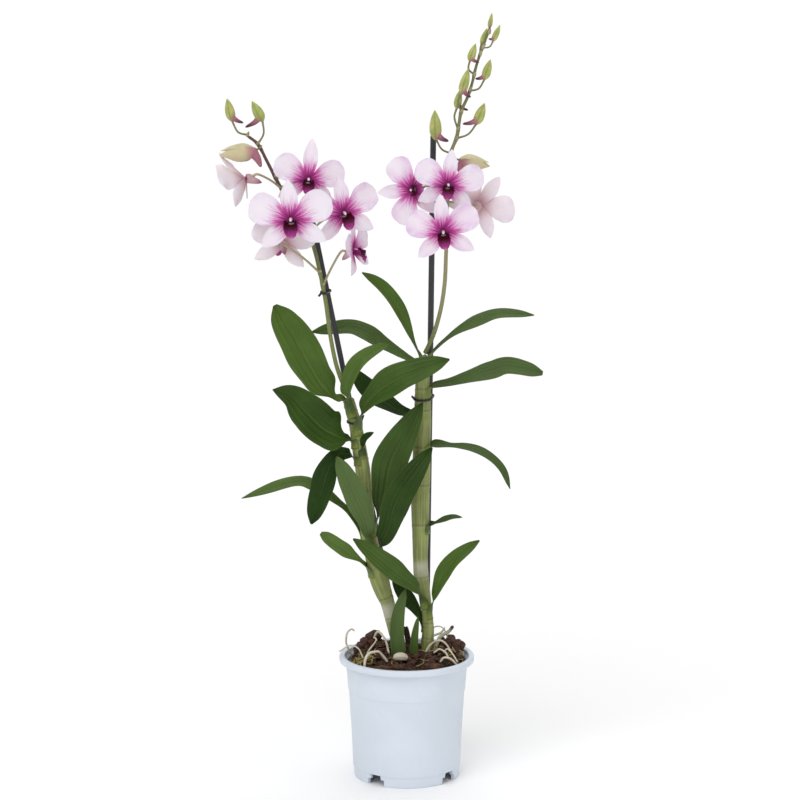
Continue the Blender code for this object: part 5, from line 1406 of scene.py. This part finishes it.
def tie_skins(name):
    """A tie: a flat band round both rods, following two arcs and the straight runs between them, and
    two short ends twisted round each other."""
    kind, which, height, front, ends = TIES[name]
    rows = CANES[which] if kind == "cane" else STEMS[which]
    x, y, first_radius = cane_at(rows, height)
    low, high, second_radius = (np.asarray(value, float) for value in STAKES[which])
    first = np.array((x, y))
    second = (low + (high - low) * (height - low[2]) / (high[2] - low[2]))[:2]
    between = second - first
    distance = np.linalg.norm(between)
    bearing = math.atan2(between[1], between[0])
    first_radius, second_radius = first_radius + TIE_GAP, float(second_radius) + TIE_GAP
    spread = math.acos((first_radius - second_radius) / distance)
    far = np.linspace(bearing - spread, bearing + spread, 24)
    near = np.linspace(bearing + spread, bearing + TURN - spread, 32)
    loop = np.vstack((second + second_radius * np.column_stack((np.cos(far), np.sin(far))),
                      first + first_radius * np.column_stack((np.cos(near), np.sin(near)))))
    dip = 0.5 * np.sin(np.arange(len(loop)) * TURN / len(loop))
    path = np.column_stack((loop, np.full(len(loop), height) + dip))
    ahead = unit(np.roll(path, -1, axis=0) - np.roll(path, 1, axis=0))
    out = unit(np.cross(ahead, (0, 0, 1.0)))
    angle = np.linspace(0, TURN, 10, endpoint=False)
    rings = (path[:, None] + TIE_HALF_THICK * np.cos(angle)[:, None] * out[:, None]
             + TIE_HALF_HIGH * np.sin(angle)[:, None] * np.array((0, 0, -1.0)))
    lofts = [loft(rings, closed=True)]
    share = np.linspace(0, 1, 40)[:, None]
    front = unit(front)
    start = np.array((*(first + first_radius * front[:2]), height))
    for half_turn in (0.0, math.pi):
        wind = TWIST_TURNS * TURN * share + half_turn
        coil = TWIST_RADIUS * np.hstack((np.cos(wind), 0 * wind, np.sin(wind)))
        line = start + share * (front + np.array(ends)) + coil
        lofts.append(loft(tube(line, np.full(40, TIE_END), 8, (0.2, 1, 0.1))))
    return lofts


def stake_skin(name):
    """A stake: a straight rod whose top is rounded by a quarter circle."""
    low, high, radius = STAKES[name]
    share = np.concatenate((np.linspace(0, 0.99, 60), np.linspace(0.991, 1, 10)))
    line = np.array(low, float) + np.outer(share, np.subtract(high, low))
    left = (1 - share) * np.linalg.norm(np.subtract(high, low))
    ends = np.sqrt(np.clip(1 - (1 - np.clip(left / 1.6, 0, 1)) ** 2, 0.02, 1))
    return loft(tube(line, radius * ends, 24, (0, 1, 0)))


class MakePot(bpy.types.Operator):
    """Make the nursery pot with its rolled rim and notched foot."""

    bl_idname = "orchid.pot"
    bl_label = "Pot"

    def execute(self, context):
        pot = context.scene.orchid_pot
        finish = plastic_finish("pot_satin", pot.plastic, TONES["pot scuff"], 0.42)
        piece("nursery_pot", [pot_skin(pot)], finish, "pot_plastic", "pot", crease=28.0)
        return {"FINISHED"}


class MakeBark(bpy.types.Operator):
    """Make the filling of bark, moss and fibres."""

    bl_idname = "orchid.bark"
    bl_label = "Bark and moss"

    def execute(self, context):
        bark = context.scene.orchid_bark
        rng = np.random.default_rng(BARK_SEED)
        finish = bark_finish(bark.dark, bark.red)
        piece("bark_filling", bark_pieces(bark, rng), finish, "bark", "bark_mix", crease=38.0)
        patches = ((bark.strands, (0, 0), 46.0, 13.0, 1.0), *MOSS_PATCHES)
        tangle = [strands(*patch, rng) for patch in patches]
        piece("moss_tangle", tangle, moss_finish(), "bark")
        return {"FINISHED"}


class MakeRoots(bpy.types.Operator):
    """Make the pale roots that lie on the bark and hang over it."""

    bl_idname = "orchid.roots"
    bl_label = "Roots"

    def execute(self, context):
        bark = context.scene.orchid_bark
        rng = np.random.default_rng(ROOT_SEED)
        finish = root_finish(bark.root, bark.root_green)
        for name, (path, radius, green) in ROOTS.items():
            skin = root_skin(path, radius, green, rng)
            piece("root_strand_" + name, [skin], finish, "root", "root_" + name)
        loose = [root_skin(path, radius, green, rng, name == "stout")
                 for name, (path, radius, green) in LOOSE_ROOTS.items()]
        piece("root_tangle", loose + [bulb_skin()], finish, "root")
        return {"FINISHED"}


class MakeCanes(bpy.types.Operator):
    """Make the two thick canes with their nodes."""

    bl_idname = "orchid.canes"
    bl_label = "Canes"

    def execute(self, context):
        cane = context.scene.orchid_cane
        finish = cane_finish(cane.skin, cane.ring)
        for name in CANES:
            piece("cane_joints_" + name, [cane_skin(name)], finish, "cane", "cane_" + name)
        return {"FINISHED"}


class MakeStakes(bpy.types.Operator):
    """Make the support stakes and the ties."""

    bl_idname = "orchid.stakes"
    bl_label = "Stakes and ties"

    def execute(self, context):
        pot = context.scene.orchid_pot
        rod = plastic_finish("stake_satin", pot.stake, TONES["stake scuff"], 0.38)
        wire = plastic_finish("tie_satin", pot.tie, TONES["tie scuff"], 0.42)
        for name in STAKES:
            piece("support_" + name, [stake_skin(name)], rod, "stake_plastic", "stake_" + name)
        for name in TIES:
            piece("wire_tie_" + name, tie_skins(name), wire, "stake_plastic", "tie_" + name)
        return {"FINISHED"}


class MakeLeaves(bpy.types.Operator):
    """Make the leaves and the young shoots."""

    bl_idname = "orchid.leaves"
    bl_label = "Leaves"

    def execute(self, context):
        leaf = context.scene.orchid_leaf
        finish = leaf_finish(leaf.dark, leaf.light, leaf.under, leaf.roughness)
        for seed, name in enumerate(LEAVES):
            piece("blade_" + name, [leaf_skin(name, seed)], finish, "leaf", "leaf_" + name)
        for name in SHOOTS:
            piece("young_shoot_" + name, [shoot_skin(name)], finish, "leaf", "shoot_" + name)
        return {"FINISHED"}


class MakeSprays(bpy.types.Operator):
    """Make the flower stems with their stalks and buds."""

    bl_idname = "orchid.sprays"
    bl_label = "Flower stems and buds"

    def execute(self, context):
        cane = context.scene.orchid_cane
        stem = stem_finish(cane.stem, cane.maroon)
        bud = bud_finish(cane.bud, cane.maroon)
        for name in STEMS:
            node = "flower_stem_" + name
            blooms = [row for key, row in BLOOMS.items() if key.startswith(name)]
            piece("spray_stem_" + name, stem_skins(name, blooms), stem, "flower_stem", node)
            buds = [skin for row in BUDS[name] for skin in bud_skin(*row)]
            piece("spray_buds_" + name, buds, bud, "flower_stem", node)
            piece("opening_bud_" + name, opening_bud(*OPENING_BUDS[name]), bud, "flower_stem", node)
        return {"FINISHED"}


class MakeBlooms(bpy.types.Operator):
    """Make the open blooms: petals and sepals, column and lip."""

    bl_idname = "orchid.blooms"
    bl_label = "Blooms"

    def execute(self, context):
        sizes = context.scene.orchid_bloom
        tepal = tepal_finish(sizes.white, sizes.lilac, sizes.magenta, sizes.throat, sizes.back)
        column = column_finish(sizes.white, sizes.magenta)
        lip = lip_finish(sizes.magenta, sizes.throat)
        rng = np.random.default_rng(BLOOM_SEED)
        for name, row in BLOOMS.items():
            node = "bloom_" + name
            skins = bloom_skins(row, sizes, TOP_SEPALS.get(name, 1.0), rng)
            piece("tepals_" + name, skins, tepal, "tepal", node)
            piece("column_" + name, [column_skin(row)], column, "tepal", node)
            piece("labellum_" + name, [lip_skin(row)], lip, "lip", node + "_lip")
        return {"FINISHED"}


class MakeStage(bpy.types.Operator):
    """Make the plain floor, the soft light and the camera."""

    bl_idname = "orchid.stage"
    bl_label = "Stage"

    def light(self, scene, name, side, front, height, strength, softness):
        """A far, broad light whose rays come from the given side, front and height."""
        lamp = bpy.data.lights.new(name, "SUN")
        lamp.energy = strength
        lamp.angle = math.radians(softness)
        made = bpy.data.objects.new(name, lamp)
        scene.collection.objects.link(made)
        made.rotation_euler = (math.atan2(math.hypot(side, front), height), 0, math.atan2(side, front))

    def execute(self, context):
        stage = context.scene.orchid_stage
        scene = context.scene
        corners = ((-1, -1), (1, -1), (1, 1), (-1, 1))
        mesh = bpy.data.meshes.new("floor")
        mesh.from_pydata([(FLOOR_REACH * x, FLOOR_REACH * y, 0) for x, y in corners], [], [(0, 1, 2, 3)])
        floor = bpy.data.objects.new("floor", mesh)
        scene.collection.objects.link(floor)
        paper = Finish("floor_paper", Roughness=0.9, Specular_IOR_Level=0.1)
        cloud = paper.step(paper.noise(3.0), 0.3, 0.7, 0.0, 0.3)
        mesh.materials.append(paper.done(paper.mix(cloud, tuple(stage.floor), tinted(stage.floor, 0.99))))
        world = bpy.data.worlds.new("studio")
        world.use_nodes = True
        tree = world.node_tree
        seen = tree.nodes.new("ShaderNodeLightPath")
        level = tree.nodes.new("ShaderNodeMapRange")
        level.inputs["To Min"].default_value = stage.sky
        level.inputs["To Max"].default_value = 1.0
        tree.links.new(seen.outputs["Is Camera Ray"], level.inputs["Value"])
        tree.links.new(level.outputs[0], tree.nodes["Background"].inputs["Strength"])
        tree.nodes["Background"].inputs["Color"].default_value = (1.0, 1.0, 1.0, 1.0)
        scene.world = world
        for name, (side, front, height, share, softness) in LIGHTS.items():
            self.light(scene, name, side, front, height, share * stage.key, softness)
        lens = bpy.data.cameras.new("camera")
        lens.lens = stage.focal
        lens.sensor_width = CAMERA_SENSOR
        camera = bpy.data.objects.new("camera", lens)
        scene.collection.objects.link(camera)
        camera.location = CAMERA_PLACE
        camera.rotation_euler = (math.radians(CAMERA_TILT), 0.0, 0.0)
        scene.camera = camera
        scene.view_settings.view_transform = "Standard"
        return {"FINISHED"}


OPERATORS = (
    MakePot, MakeBark, MakeRoots, MakeCanes, MakeStakes, MakeLeaves, MakeSprays, MakeBlooms, MakeStage)


class OrchidPanel(bpy.types.Panel):
    """The steps that build the orchid, each with the values that it uses."""

    bl_idname = "VIEW3D_PT_orchid"
    bl_label = "Potted Dendrobium"
    bl_space_type = "VIEW_3D"
    bl_region_type = "UI"
    bl_category = "Orchid"

    def draw(self, context):
        for made in OPERATORS:
            self.layout.operator(made.bl_idname)
        for key, group in SETTINGS.items():
            box = self.layout.box()
            box.label(text=group.__doc__)
            for name in group.__annotations__:
                box.prop(getattr(context.scene, key), name)


def register():
    """Registers the classes and hangs each group of settings on the scene."""
    for made in (*SETTINGS.values(), *OPERATORS, OrchidPanel):
        bpy.utils.register_class(made)
    for key, group in SETTINGS.items():
        setattr(bpy.types.Scene, key, bpy.props.PointerProperty(type=group))


def unregister():
    """Takes the settings and the classes away again."""
    for key in SETTINGS:
        delattr(bpy.types.Scene, key)
    for made in (OrchidPanel, *reversed(OPERATORS), *reversed(SETTINGS.values())):
        bpy.utils.unregister_class(made)


def main():
    """Builds every piece in order."""
    register()
    for made in OPERATORS:
        group, step = made.bl_idname.split(".")
        getattr(getattr(bpy.ops, group), step)()


if __name__ == "__main__":
    main()
